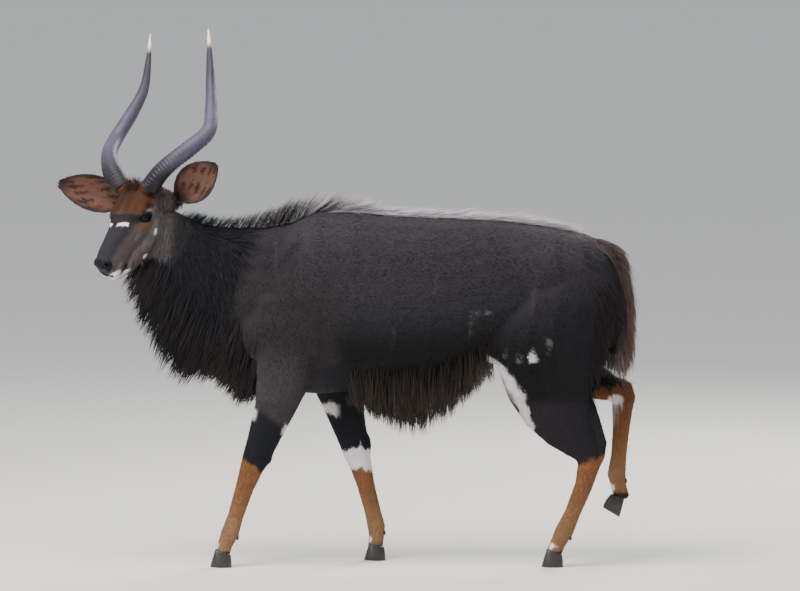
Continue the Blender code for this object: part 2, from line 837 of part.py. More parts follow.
def lock(name, start, end, normal, width, thickness, bulge, middle=None):
    """One flat tapered lock that leaves the skin at start, bends and ends in a point."""
    middle = middle or start.lerp(end, 0.45) + normal * bulge
    shape = bmesh.new()
    rows = []
    for share, broad in ((0.0, 0.80), (0.30, 1.0), (0.68, 0.66)):
        place = (1 - share) ** 2 * start + 2 * share * (1 - share) * middle + share**2 * end
        run = ((1 - share) * (middle - start) + share * (end - middle)).normalized()
        across = run.cross(normal).normalized()
        out = across.cross(run)
        half, thin = width * broad / 2, thickness * broad
        corners = (across * half, out * thin, across * -half)
        rows.append([shape.verts.new(place + corner) for corner in corners])
    tip = shape.verts.new(end)
    shape.faces.new(reversed(rows[0]))
    for lower, upper in zip(rows, rows[1:]):
        for step in range(3):
            after = (step + 1) % 3
            shape.faces.new((lower[step], lower[after], upper[after], upper[step]))
    for step in range(3):
        shape.faces.new((rows[-1][step], rows[-1][(step + 1) % 3], tip))
    bmesh.ops.recalc_face_normals(shape, faces=shape.faces)
    mesh = bpy.data.meshes.new(name)
    shape.to_mesh(mesh)
    shape.free()
    return mesh


def rooted(tree, near, depth):
    """A point a little under the skin next to a place, and the skin's normal there."""
    spot, normal, _, _ = tree.find_nearest(near)
    return spot - normal * depth, normal


def hanging_locks(tree, group, name, roots, tips, rows, width, seed):
    """Rows of locks from a line of roots to a line of tips, each row further to one side."""
    chance = random.Random(seed)
    for row, (offset, begin, reach, count) in enumerate(rows):
        for index in range(count):
            share = (index + 0.25 + 0.5 * (row % 2) + chance.uniform(-0.12, 0.12)) / count
            share = min(share, 1)
            root, tip = along(roots, share), along(tips, share)
            near = root + (tip - root) * begin + Vector((0, offset, 0))
            start, normal = rooted(tree, near, 0.010)
            end = root.lerp(tip, reach * chance.uniform(0.92, 1.04))
            end += Vector((chance.uniform(-0.012, 0.012), offset * 0.70, 0))
            size = width * chance.uniform(0.85, 1.15)
            mesh = lock(name, start, end, normal, size, size * 0.17, chance.uniform(0.010, 0.022))
            group.objects.link(bpy.data.objects.new(name, mesh))


def crest_locks(tree, group):
    """The crest along the nape and back: locks that lie back over one another."""
    chance = random.Random(3)
    for index in range(CREST_LOCKS):
        share = (index + 0.3) / CREST_LOCKS
        sway = 0.005 * (-1) ** index
        start = along(CREST_ROOTS, share) + Vector((0, sway, 0))
        end = along(CREST_TIPS, share) + Vector((0, sway * 2, chance.uniform(-0.005, 0.003)))
        side = Vector((0, -1 if sway < 0 else 1, 0))
        size = 0.050 * chance.uniform(0.9, 1.1)
        middle = start.lerp(end, 0.5) + Vector((-0.012, 0, 0.012))
        mesh = lock("crest_lock", start, end, side, size, 0.011, 0, middle)
        group.objects.link(bpy.data.objects.new("crest_lock", mesh))


def haunch_locks(tree, group):
    """Long hair down the back edge of both thighs."""
    chance = random.Random(5)
    for side, low in ((left, 0.54), (right, 0.66)):
        for index in range(5):
            height = 0.76 - (0.76 - low) * index / 4 + chance.uniform(-0.01, 0.01)
            near = Vector((0.60, side * (0.092 + 0.005 * index), height))
            start, normal = rooted(tree, near, 0.010)
            fall = Vector((0.004, side * 0.004, -0.095)) * chance.uniform(0.9, 1.1)
            end = start + normal * 0.024 + fall
            mesh = lock("haunch_lock", start, end, normal, 0.044, 0.009, 0.014)
            group.objects.link(bpy.data.objects.new("haunch_lock", mesh))


def tail_locks(tree, group):
    """Bushy hair round the tail, hanging down and a little outwards."""
    chance = random.Random(8)
    for level, height in enumerate((0.93, 0.86, 0.79, 0.72)):
        for index in range(4):
            angle = math.tau * (index + 0.5 * (level % 2)) / 4 + chance.uniform(-0.2, 0.2)
            out = Vector((math.cos(angle) * 0.8, math.sin(angle), 0))
            near = Vector((0.606, 0, height)) + out * 0.05
            start, normal = rooted(tree, near, 0.008)
            fall = Vector((0, 0, -0.115)) * chance.uniform(0.9, 1.1)
            end = start + out * 0.018 + fall
            mesh = lock("tail_lock", start, end, normal, 0.044, 0.009, 0.012)
            group.objects.link(bpy.data.objects.new("tail_lock", mesh))


def with_locks(thing, group):
    """Fuses a group of locks into the skin they are rooted in."""
    step = thing.modifiers.new("locks", "BOOLEAN")
    step.operation = "UNION"
    step.operand_type = "COLLECTION"
    step.collection = group
    step.solver = LOCK_SOLVER
    name = thing.name
    made = evaluated(thing)
    for spare in list(group.objects):
        bpy.data.objects.remove(spare)
    made.name = name
    return largest(made)


THROAT_ROWS = (
    (-0.014, 0.15, 1.00, 7),
    (0.014, 0.15, 1.00, 7),
    (-0.042, -0.20, 0.84, 6),
    (0.042, -0.20, 0.84, 6),
    (-0.066, -0.75, 0.42, 5),
    (0.066, -0.75, 0.42, 5),
)
BELLY_ROWS = (
    (-0.014, 0.15, 1.00, 6),
    (0.014, 0.15, 1.00, 6),
    (-0.044, -0.10, 0.84, 5),
    (0.044, -0.10, 0.84, 5),
)
CREST_LOCKS = 18


def body_locks(body):
    """Throat, chest, belly, crest and haunch locks on the whole body."""
    shape = bmesh.new()
    shape.from_mesh(body.data)
    tree = BVHTree.FromBMesh(shape)
    shape.free()
    group = collection("body_locks")
    hanging_locks(tree, group, "throat_lock", THROAT_ROOTS, THROAT_TIPS, THROAT_ROWS, 0.066, 1)
    hanging_locks(tree, group, "belly_lock", BELLY_ROOTS, BELLY_TIPS, BELLY_ROWS, 0.062, 2)
    crest_locks(tree, group)
    haunch_locks(tree, group)
    return with_locks(body, group)


def cutter_pair(corner, opposite, pivot, turn):
    """The same block twice: to keep what is inside it, and to clear what is outside by a seam."""
    low, high = Vector(corner), Vector(opposite)
    clear = Vector((SEAM, SEAM, SEAM))
    return (
        slab("inside", low, high, pivot, turn),
        slab("outside", low - clear, high + clear, pivot, turn),
    )


def part_off(rest, name, corner, opposite, pivot, turn):
    """Cuts one node out of the rest with a turned block and returns both."""
    inside, outside = cutter_pair(corner, opposite, Vector(pivot), turn)
    node = largest(boolean(copy_of(rest, name), inside, "INTERSECT"))
    rest = largest(boolean(rest, outside, "DIFFERENCE"))
    bpy.data.objects.remove(inside)
    bpy.data.objects.remove(outside)
    return node, rest


def parted(body):
    """The body as neck, four legs and torso."""
    nodes = {}
    nodes["neck"], body = part_off(
        body, "neck", (-1.40, -0.5, -0.5), (-0.52, 0.5, 2.0), (-0.52, 0, 0.87), 20.8
    )
    blocks = {
        "leg_fore_left": ((-0.590, -0.4, -0.4), (-0.330, -0.046, 0.620), (-0.455, 0, 0.620), 15),
        "leg_fore_right": ((-0.450, 0.046, -0.4), (-0.190, 0.4, 0.620), (-0.320, 0, 0.620), -15),
        "leg_hind_left": ((0.165, -0.4, -0.4), (0.640, -0.016, 0.705), (0.385, 0, 0.705), -10),
        "leg_hind_right": ((0.165, 0.016, -0.4), (0.750, 0.4, 0.725), (0.385, 0, 0.725), -10),
    }
    for name, block in blocks.items():
        nodes[name], body = part_off(body, name, *block)
    knees = {
        "fore_left": ((-0.75, -0.4, -0.4), (-0.30, 0.0, 0.392), (-0.528, 0, 0.392), 15),
        "fore_right": ((-0.45, 0.0, -0.4), (0.10, 0.4, 0.388), (-0.238, 0, 0.388), -15),
        "hind_left": ((0.10, -0.4, -0.4), (0.80, 0.0, 0.440), (0.455, 0, 0.440), -22),
        "hind_right": ((0.5575, 0.0, -0.4), (1.00, 0.4, 1.0), (0.5575, 0, 0.545), 14),
    }
    for foot, block in knees.items():
        whole = nodes.pop("leg_" + foot)
        lower, upper = part_off(whole, "leg_" + foot + "_lower", *block)
        nodes["leg_" + foot + "_lower"] = lower
        upper.name = "leg_" + foot + "_upper"
        nodes[upper.name] = upper
    body.name = "torso"
    nodes["torso"] = body
    return nodes


def feet(nodes):
    """Cuts each leg at its coronet and stands two claws under it."""
    for foot in FEET:
        place = foot_place(foot)
        leg = nodes["leg_" + foot + "_lower"]
        below = slab("below", (-0.12, -0.12, -0.12), (0.12, 0.12, 0.044))
        tilt = Matrix.Rotation(math.radians(17), 4, "Y")
        below.data.transform(place @ tilt)
        nodes["leg_" + foot + "_lower"] = largest(boolean(leg, below, "DIFFERENCE"))
        top = slab("top", (-0.12, -0.12, 0.044 - GAP), (0.12, 0.12, 0.2))
        top.data.transform(place @ tilt)
        for side, word in ((-1, "near"), (1, "far")):
            half = claw("claw", side)
            half.data.transform(place)
            half = boolean(half, top, "DIFFERENCE")
            half.name = f"hoof_{foot}_{word}"
            nodes[half.name] = half
        bpy.data.objects.remove(below)
        bpy.data.objects.remove(top)


def finish(nodes):
    """Gives each node its material and shading, and sets the whole on the middle of its floor."""
    colours = (
        ("horn", HORN, 0.45),
        ("hoof", HOOF, 0.5),
        ("eye", EYEBALL, 0.1),
        ("ear", EAR_SKIN, 0.8),
        ("leg", TAN, 0.8),
        ("tail", DARK_HAIR, 0.8),
        ("neck", DARK_HAIR, 0.8),
        ("", COAT, 0.8),
    )
    points = np.concatenate([points_of(node.data) for node in nodes.values()])
    low, high = points.min(0), points.max(0)
    middle = (low + high) / 2
    shift = Matrix.Translation((-middle[0], -middle[1], -low[2]))
    for name, node in nodes.items():
        node.name = name
        node.data.transform(shift)
        colour, roughness = next(row[1:] for row in colours if name.startswith(row[0]))
        node.data.materials.clear()
        node.data.materials.append(material(name, colour, roughness))
        node.data.shade_smooth()
        node.data.set_sharp_from_angle(angle=math.radians(42))


def main():
    clear_scene()
    head = in_head(face_cuts(whole_head()))
    body = body_locks(thinned(whole_body(), BODY_TRIANGLES))
    hull = grown(head, GAP)
    body = largest(boolean(body, hull, "DIFFERENCE"))
    nodes = parted(body)
    nodes["head"] = head
    for side, word in ((1, "left"), (-1, "right")):
        nodes["horn_" + word] = largest(boolean(horn("horn_" + word, side), hull, "DIFFERENCE"))
        ear_skin = boolean(ear("ear_" + word, side), hull, "DIFFERENCE")
        for near in ("horn_" + word, "neck"):
            ear_skin = boolean(ear_skin, grown(nodes[near], GAP), "DIFFERENCE")
        nodes["ear_" + word] = largest(ear_skin)
        nodes["eye_" + word] = eyeball("eye_" + word, side)
    feet(nodes)
    tail = limb("tail", TAIL, 14)
    shape = bmesh.new()
    shape.from_mesh(tail.data)
    tree = BVHTree.FromBMesh(shape)
    shape.free()
    group = collection("tail_locks")
    tail_locks(tree, group)
    tail = with_locks(tail, group)
    for near in ("torso", "leg_hind_left_upper", "leg_hind_right_upper"):
        tail = boolean(tail, grown(nodes[near], GAP), "DIFFERENCE")
    nodes["tail"] = largest(tail)
    kept = set(nodes.values())
    for thing in [thing for thing in bpy.data.objects if thing not in kept]:
        bpy.data.objects.remove(thing)
    finish(nodes)


main()
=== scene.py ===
"""The looks of a life-size nyala bull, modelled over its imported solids.

One skin carries the flesh. Short coat, mane, fringes and tail are closed tapered tufts of hair.
Horns, eyes and hooves are pieces of their own. The animal faces -X and its left side is -Y.
"""

import math

import bmesh
import bpy
import numpy as np
from mathutils import Matrix, Vector
from mathutils.bvhtree import BVHTree


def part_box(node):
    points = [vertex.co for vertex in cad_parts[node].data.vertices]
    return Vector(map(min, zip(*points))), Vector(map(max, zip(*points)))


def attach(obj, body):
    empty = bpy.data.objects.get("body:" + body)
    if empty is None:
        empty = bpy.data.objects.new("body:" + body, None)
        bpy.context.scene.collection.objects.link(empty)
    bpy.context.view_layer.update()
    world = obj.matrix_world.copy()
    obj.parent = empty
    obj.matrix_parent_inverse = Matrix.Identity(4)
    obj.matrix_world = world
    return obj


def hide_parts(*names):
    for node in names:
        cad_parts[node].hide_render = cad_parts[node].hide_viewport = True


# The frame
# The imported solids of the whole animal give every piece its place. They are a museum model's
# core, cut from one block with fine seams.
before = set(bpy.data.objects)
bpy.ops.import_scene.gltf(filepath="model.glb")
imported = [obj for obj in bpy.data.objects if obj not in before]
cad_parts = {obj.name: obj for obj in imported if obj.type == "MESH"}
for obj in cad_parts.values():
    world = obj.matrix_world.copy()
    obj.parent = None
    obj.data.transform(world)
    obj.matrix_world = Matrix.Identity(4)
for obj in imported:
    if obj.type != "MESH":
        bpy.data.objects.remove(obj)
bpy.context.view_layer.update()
for loose in ("Cube", "Light", "Camera"):
    if loose in bpy.data.objects:
        bpy.data.objects.remove(bpy.data.objects[loose])

POLL = Vector((-0.919, -0.050, 1.178))
HEAD_PITCH = math.radians(44)
HEAD_YAW = math.radians(58)
HEAD_ROLL = math.radians(8)
EYE = Vector((0.082, 0.054, -0.040))
EYE_RADIUS = 0.0195


def head_matrix():
    """The head's own frame: +X along the face to the nose, +Y to its left, +Z out of the brow."""
    flat = Vector((-math.cos(HEAD_YAW), -math.sin(HEAD_YAW), 0))
    ahead = flat * math.cos(HEAD_PITCH) - Vector((0, 0, math.sin(HEAD_PITCH)))
    up = flat * math.sin(HEAD_PITCH) + Vector((0, 0, math.cos(HEAD_PITCH)))
    roll = Matrix.Rotation(HEAD_ROLL, 3, ahead)
    side = roll @ up.cross(ahead)
    place = Matrix((ahead, side, roll @ up)).transposed().to_4x4()
    place.translation = POLL
    return place


HEAD = head_matrix()
eye_low, eye_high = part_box("eye_left")
ROW_SHIFT = (eye_low + eye_high) / 2 - HEAD @ EYE


def settled(piece, slot, *nodes):
    """Moves a finished piece from the maker's frame to the row frame and hands it to the frame."""
    piece.data.transform(Matrix.Translation(ROW_SHIFT))
    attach(piece, "root")
    if nodes:
        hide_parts(*nodes)
    return piece


# The studio
# A wide matt floor of pale plaster, a broad soft light overhead and a long lens a little above
# the animal's back, square to its left side, twenty-eight metres off.
VIEW_WIDTH = 2.5
LENS_DISTANCE = 28.0
LENS_HEIGHT = math.radians(5)
VIEW_MIDDLE = Vector((-0.094, 0, 0.8425)) + ROW_SHIFT
SENSOR = 36.0


def paint(code):
    """A colour from its sRGB code, as the linear values that a shader takes."""
    parts = [int(code[place : place + 2], 16) / 255 for place in (1, 3, 5)]
    return tuple(
        part / 12.92 if part <= 0.04045 else ((part + 0.055) / 1.055) ** 2.4 for part in parts
    )


def node(tree, kind, settings=None, **links):
    """Adds one node. Values go to its sockets by name, or by number as _0, and a pair is a link."""
    made = tree.nodes.new(kind)
    for name, value in (settings or {}).items():
        setattr(made, name, value)
    for name, value in links.items():
        numbered = name[1:].isdigit()
        socket = made.inputs[int(name[1:]) if numbered else name.replace("_", " ")]
        if isinstance(value, tuple) and isinstance(value[0], bpy.types.Node):
            tree.links.new(value[0].outputs[value[1]], socket)
        else:
            socket.default_value = value
    return made


def finish_named(name, **values):
    """A new material with one Principled shader, and its tree."""
    made = bpy.data.materials.new(name)
    made.use_nodes = True
    shader = made.node_tree.nodes["Principled BSDF"]
    for socket, value in values.items():
        shader.inputs[socket.replace("_", " ")].default_value = value
    return made, made.node_tree, shader


def area_light(name, place, size, power, tone):
    lamp = bpy.data.lights.new(name, "AREA")
    lamp.shape = "DISK"
    lamp.size = size
    lamp.energy = power
    lamp.color = tone
    made = bpy.data.objects.new(name, lamp)
    made.location = place
    made.rotation_euler = (VIEW_MIDDLE - Vector(place)).to_track_quat("-Z", "Y").to_euler()
    bpy.context.scene.collection.objects.link(made)


lens = bpy.data.cameras.new("long_lens")
lens.sensor_width = SENSOR
lens.lens = SENSOR * LENS_DISTANCE / VIEW_WIDTH
lens.clip_end = 600
camera = bpy.data.objects.new("long_lens", lens)
off = Vector((0, -math.cos(LENS_HEIGHT), math.sin(LENS_HEIGHT)))
camera.location = VIEW_MIDDLE + off * LENS_DISTANCE
camera.rotation_euler = (-off).to_track_quat("-Z", "Y").to_euler()
bpy.context.scene.collection.objects.link(camera)
bpy.context.scene.camera = camera

bpy.ops.mesh.primitive_circle_add(vertices=96, radius=260, fill_type="NGON")
floor = bpy.context.object
floor.name = "floor"
plaster, tree, shader = finish_named("matt_plaster", Base_Color=(*paint("#e2dfd9"), 1), Roughness=0.9)
floor.data.materials.append(plaster)

sky = bpy.context.scene.world or bpy.data.worlds.new("soft_room")
bpy.context.scene.world = sky
sky.use_nodes = True
sky.node_tree.nodes["Background"].inputs["Color"].default_value = (0.86, 0.90, 0.97, 1)
sky.node_tree.nodes["Background"].inputs["Strength"].default_value = 0.75
area_light("overhead", (-1.2, -1.6, 4.6), 3.2, 330, (1, 0.97, 0.93))
area_light("side_fill", (-3.5, -4.2, 2.2), 3.0, 130, (0.95, 0.97, 1))
area_light("far_rim", (2.4, 3.6, 3.4), 2.4, 210, (1, 0.98, 0.95))


# The flesh under the coat
# Trunk, neck, legs and tail are masses of clay over a frame, run together into one smooth skin.
# The skin lies below the solids by the depth of the short coat.
BODY_HALF_WIDTH = 0.180
BODY_VOXEL = 0.0052
BODY_ROUNDS = 60
BODY_FACES = 82000
COAT_DEPTH = 0.0045
left, right = -1, 1


def object_from(name, mesh):
    made = bpy.data.objects.new(name, mesh)
    bpy.context.scene.collection.objects.link(made)
    return made


def from_bmesh(name, shape):
    mesh = bpy.data.meshes.new(name)
    shape.to_mesh(mesh)
    shape.free()
    return object_from(name, mesh)


def evaluated(thing):
    """The object's mesh with its modifiers, in a new plain object that takes its name."""
    bpy.context.view_layer.update()
    graph = bpy.context.evaluated_depsgraph_get()
    mesh = bpy.data.meshes.new_from_object(thing.evaluated_get(graph))
    name = thing.name
    bpy.data.objects.remove(thing)
    return object_from(name, mesh)


def section(top, bottom, half_width, side, widest=0.5, power=2.0, count=20):
    """Points round a body section that runs from top to bottom and bulges to both sides."""
    middle = bottom.lerp(top, widest)
    points = []
    for step in range(count):
        angle = math.tau * step / count
        up, across = math.cos(angle), math.sin(angle)
        rise = math.copysign(abs(up) ** (2 / power), up)
        reach = math.copysign(abs(across) ** (2 / power), across)
        end = top if rise > 0 else bottom
        points.append(middle + (end - middle) * abs(rise) + side * half_width * reach)
    return points


def loft(name, sections, pointed=False):
    """One closed skin through the sections. A pointed loft ends in its last section's middle."""
    shape = bmesh.new()
    count = len(sections[0])
    rows = [[shape.verts.new(point) for point in ring] for ring in sections]
    if pointed:
        tip = sum(sections[-1], Vector()) / count
        for vertex in rows.pop():
            shape.verts.remove(vertex)
        end = shape.verts.new(tip)
        for step in range(count):
            shape.faces.new((rows[-1][step], rows[-1][(step + 1) % count], end))
    else:
        shape.faces.new(rows[-1])
    shape.faces.new(reversed(rows[0]))
    for lower, upper in zip(rows, rows[1:]):
        for step in range(count):
            after = (step + 1) % count
            shape.faces.new((lower[step], lower[after], upper[after], upper[step]))
    bmesh.ops.recalc_face_normals(shape, faces=shape.faces)
    return from_bmesh(name, shape)


def ellipsoid(name, centre, radii, turn=(0, 0, 0), segments=28):
    shape = bmesh.new()
    bmesh.ops.create_uvsphere(shape, u_segments=segments, v_segments=segments // 2, radius=1)
    place = Matrix.Translation(Vector(centre))
    for axis, angle in zip("XYZ", turn):
        place = place @ Matrix.Rotation(math.radians(angle), 4, axis)
    bmesh.ops.transform(shape, matrix=place @ Matrix.Diagonal((*radii, 1)), verts=shape.verts)
    return from_bmesh(name, shape)


def fused(name, pieces, voxel):
    """The pieces run together into one even skin."""
    shape = bmesh.new()
    for piece in pieces:
        shape.from_mesh(piece.data)
        bpy.data.objects.remove(piece)
    made = from_bmesh(name, shape)
    remesh = made.modifiers.new("even skin", "REMESH")
    remesh.mode = "VOXEL"
    remesh.voxel_size = voxel
    return evaluated(made)


def column(mesh, kind="co"):
    """The places or normals of a mesh's points as an array."""
    flat = np.empty(len(mesh.vertices) * 3)
    mesh.vertices.foreach_get(kind, flat)
    return flat.reshape(-1, 3)


def smoothed(thing, rounds, strength):
    """Relaxes the skin without shrinking it. strength gives each point a share from 0 to 1."""
    mesh = thing.data
    points = column(mesh)
    ends = np.empty(len(mesh.edges) * 2, np.int64)
    mesh.edges.foreach_get("vertices", ends)
    ends = ends.reshape(-1, 2)
    degree = np.bincount(ends.ravel(), minlength=len(points)).reshape(-1, 1)
    share = strength(points).reshape(-1, 1)
    for turn in range(rounds * 2):
        total = np.zeros_like(points)
        for first, second in ((0, 1), (1, 0)):
            for axis in range(3):
                total[:, axis] += np.bincount(
                    ends[:, first], weights=points[ends[:, second], axis], minlength=len(points)
                )
        pull = 0.6 if turn % 2 == 0 else -0.56
        points = points + pull * share * (total / degree - points)
    mesh.vertices.foreach_set("co", points.ravel())
    mesh.update()


def thinned(thing, triangles):
    """The skin with fewer faces, most of them kept where it bends."""
    thing.data.calc_loop_triangles()
    fewer = thing.modifiers.new("fewer faces", "DECIMATE")
    fewer.ratio = min(1, triangles / len(thing.data.loop_triangles))
    fewer.use_collapse_triangulate = True
    return evaluated(thing)


def boolean(thing, other, operation):
    """Joins or cuts with another closed piece, which is used up."""
    step = thing.modifiers.new(operation, "BOOLEAN")
    step.operation = operation
    step.solver = "MANIFOLD"
    step.object = other
    made = evaluated(thing)
    bpy.data.objects.remove(other)
    return made


def sunk(thing, depth):
    """Moves the skin inwards by a depth given for each point."""
    points = column(thing.data)
    points -= column(thing.data, "normal") * depth(points).reshape(-1, 1)
    thing.data.vertices.foreach_set("co", points.ravel())
    thing.data.update()


def upright_loft(name, stations, power, count):
    """A loft through upright sections: X, top, bottom, half width, height of the widest line."""
    across = Vector((0, 1, 0))
    rings = [
        section(Vector((x, 0, top)), Vector((x, 0, low)), half, across, widest, power, count)
        for x, top, low, half, widest in stations
    ]
    return loft(name, rings)


def trunk():
    """Ribs, belly, loin and rump."""
    wide = BODY_HALF_WIDTH
    stations = (
        (-0.618, 0.800, 0.690, 0.22 * wide, 0.50),
        (-0.590, 0.880, 0.620, 0.46 * wide, 0.50),
        (-0.525, 0.985, 0.565, 0.70 * wide, 0.47),
        (-0.445, 1.070, 0.538, 0.82 * wide, 0.44),
        (-0.355, 1.115, 0.532, 0.90 * wide, 0.42),
        (-0.240, 1.116, 0.538, 0.98 * wide, 0.42),
        (-0.120, 1.104, 0.546, 1.03 * wide, 0.42),
        (0.000, 1.098, 0.560, 1.04 * wide, 0.42),
        (0.100, 1.094, 0.590, 1.01 * wide, 0.43),
        (0.190, 1.090, 0.640, 0.95 * wide, 0.46),
        (0.290, 1.080, 0.685, 0.90 * wide, 0.50),
        (0.390, 1.065, 0.695, 0.87 * wide, 0.54),
        (0.480, 1.042, 0.715, 0.79 * wide, 0.54),
        (0.550, 1.000, 0.760, 0.60 * wide, 0.52),
        (0.592, 0.945, 0.820, 0.36 * wide, 0.50),
    )
    return upright_loft("trunk", stations, 2.15, 28)


def neck_core():
    """The neck from the shoulders to the skull: crest point, throat point, side shift, half width."""
    stations = (
        ((-0.340, 1.100), (-0.430, 0.570), 0.000, 0.140),
        ((-0.430, 1.078), (-0.580, 0.605), 0.000, 0.128),
        ((-0.520, 1.060), (-0.672, 0.660), 0.000, 0.112),
        ((-0.605, 1.052), (-0.742, 0.725), -0.002, 0.099),
        ((-0.680, 1.060), (-0.797, 0.790), -0.006, 0.090),
        ((-0.745, 1.084), (-0.842, 0.850), -0.010, 0.083),
        ((-0.802, 1.112), (-0.880, 0.908), -0.010, 0.077),
        ((-0.846, 1.134), (-0.912, 0.962), -0.010, 0.068),
        ((-0.882, 1.128), (-0.928, 1.008), -0.012, 0.048),
    )
    turn = math.radians(40)
    rings = []
    for index, (crest, throat, shift, half) in enumerate(stations):
        yaw = turn * (index / (len(stations) - 1)) ** 2
        across = Vector((-math.sin(yaw), math.cos(yaw), 0))
        top = Vector((crest[0], shift, crest[1]))
        bottom = Vector((throat[0], shift, throat[1]))
        rings.append(section(top, bottom, half, across, 0.45, 2.1, 24))
    return loft("neck_core", rings)


def limb(name, stations, count=16):
    """A leg through its stations: X, Y, Z, half depth fore and aft, half width."""
    middles = [Vector(station[:3]) for station in stations]
    rings = []
    for index, (_, _, _, depth, half) in enumerate(stations):
        before, after = middles[max(index - 1, 0)], middles[min(index + 1, len(middles) - 1)]
        run = (after - before).normalized()
        across = Vector((0, 1, 0))
        ahead = across.cross(run).normalized()
        middle = middles[index]
        rings.append(
            section(middle + ahead * depth, middle - ahead * depth, half, across, 0.5, 2.1, count)
        )
    return loft(name, rings)


FORE_LEFT = (
    (-0.440, -0.092, 0.840, 0.115, 0.046),
    (-0.452, -0.108, 0.740, 0.116, 0.052),
    (-0.448, -0.115, 0.650, 0.100, 0.052),
    (-0.464, -0.114, 0.570, 0.084, 0.047),
    (-0.484, -0.114, 0.500, 0.067, 0.042),
    (-0.507, -0.108, 0.440, 0.057, 0.038),
    (-0.526, -0.104, 0.388, 0.049, 0.035),
    (-0.541, -0.100, 0.348, 0.045, 0.034),
    (-0.558, -0.098, 0.308, 0.037, 0.030),
    (-0.580, -0.096, 0.245, 0.0295, 0.0240),
    (-0.607, -0.095, 0.160, 0.0255, 0.0220),
    (-0.624, -0.095, 0.108, 0.0290, 0.0250),
    (-0.639, -0.095, 0.074, 0.0245, 0.0228),
    (-0.650, -0.095, 0.040, 0.0248, 0.0226),
)
FORE_RIGHT = (
    (-0.400, 0.092, 0.840, 0.115, 0.046),
    (-0.375, 0.108, 0.740, 0.116, 0.052),
    (-0.330, 0.115, 0.650, 0.098, 0.052),
    (-0.296, 0.114, 0.570, 0.080, 0.047),
    (-0.275, 0.114, 0.500, 0.068, 0.041),
    (-0.258, 0.108, 0.440, 0.058, 0.038),
    (-0.242, 0.104, 0.384, 0.049, 0.035),
    (-0.231, 0.100, 0.345, 0.044, 0.034),
    (-0.219, 0.098, 0.305, 0.036, 0.030),
    (-0.202, 0.096, 0.240, 0.0290, 0.0240),
    (-0.180, 0.095, 0.155, 0.0265, 0.0222),
    (-0.168, 0.095, 0.106, 0.0290, 0.0250),
    (-0.168, 0.095, 0.072, 0.0245, 0.0228),
    (-0.172, 0.095, 0.040, 0.0248, 0.0226),
)
HIND_LEFT = (
    (0.420, -0.080, 0.960, 0.140, 0.060),
    (0.402, -0.098, 0.840, 0.166, 0.068),
    (0.378, -0.112, 0.730, 0.178, 0.066),
    (0.368, -0.118, 0.640, 0.170, 0.060),
    (0.380, -0.118, 0.560, 0.144, 0.053),
    (0.402, -0.114, 0.490, 0.114, 0.045),
    (0.434, -0.109, 0.430, 0.082, 0.038),
    (0.470, -0.104, 0.385, 0.056, 0.031),
    (0.494, -0.101, 0.352, 0.044, 0.028),
    (0.495, -0.099, 0.318, 0.036, 0.026),
    (0.479, -0.096, 0.255, 0.0290, 0.0240),
    (0.445, -0.091, 0.170, 0.0258, 0.0222),
    (0.419, -0.089, 0.112, 0.0300, 0.0250),
    (0.400, -0.088, 0.076, 0.0250, 0.0230),
    (0.385, -0.088, 0.040, 0.0250, 0.0228),
)
HIND_RIGHT = (
    (0.420, 0.080, 0.960, 0.140, 0.060),
    (0.402, 0.098, 0.840, 0.165, 0.068),
    (0.385, 0.112, 0.740, 0.165, 0.066),
    (0.395, 0.120, 0.665, 0.135, 0.058),
    (0.435, 0.120, 0.608, 0.096, 0.048),
    (0.490, 0.116, 0.570, 0.066, 0.039),
    (0.545, 0.110, 0.548, 0.049, 0.032),
    (0.588, 0.105, 0.534, 0.041, 0.029),
    (0.606, 0.102, 0.505, 0.040, 0.028),
    (0.604, 0.100, 0.470, 0.035, 0.026),
    (0.600, 0.098, 0.410, 0.0285, 0.0240),
    (0.593, 0.096, 0.330, 0.0258, 0.0222),
    (0.586, 0.095, 0.270, 0.0300, 0.0250),
    (0.594, 0.095, 0.232, 0.0250, 0.0230),
    (0.604, 0.095, 0.194, 0.0250, 0.0228),
)
HEEL_LEFT = (
    (0.452, -0.110, 0.585, 0.034, 0.020),
    (0.500, -0.108, 0.500, 0.022, 0.014),
    (0.524, -0.104, 0.430, 0.018, 0.013),
    (0.534, -0.101, 0.392, 0.019, 0.017),
    (0.526, -0.100, 0.352, 0.022, 0.019),
    (0.507, -0.099, 0.310, 0.020, 0.017),
)
HEEL_RIGHT = (
    (0.520, 0.114, 0.585, 0.020, 0.014),
    (0.585, 0.108, 0.566, 0.016, 0.013),
    (0.622, 0.103, 0.550, 0.018, 0.016),
    (0.630, 0.101, 0.515, 0.020, 0.018),
    (0.620, 0.100, 0.470, 0.018, 0.016),
)
TAIL = (
    (0.470, 0, 1.012, 0.014, 0.018),
    (0.520, 0, 1.010, 0.018, 0.021),
    (0.562, 0, 0.994, 0.021, 0.024),
    (0.588, 0, 0.955, 0.021, 0.026),
    (0.599, 0, 0.900, 0.020, 0.027),
    (0.604, 0, 0.820, 0.020, 0.029),
    (0.603, 0, 0.740, 0.018, 0.027),
    (0.597, 0, 0.678, 0.014, 0.022),
    (0.588, 0, 0.630, 0.007, 0.012),
)


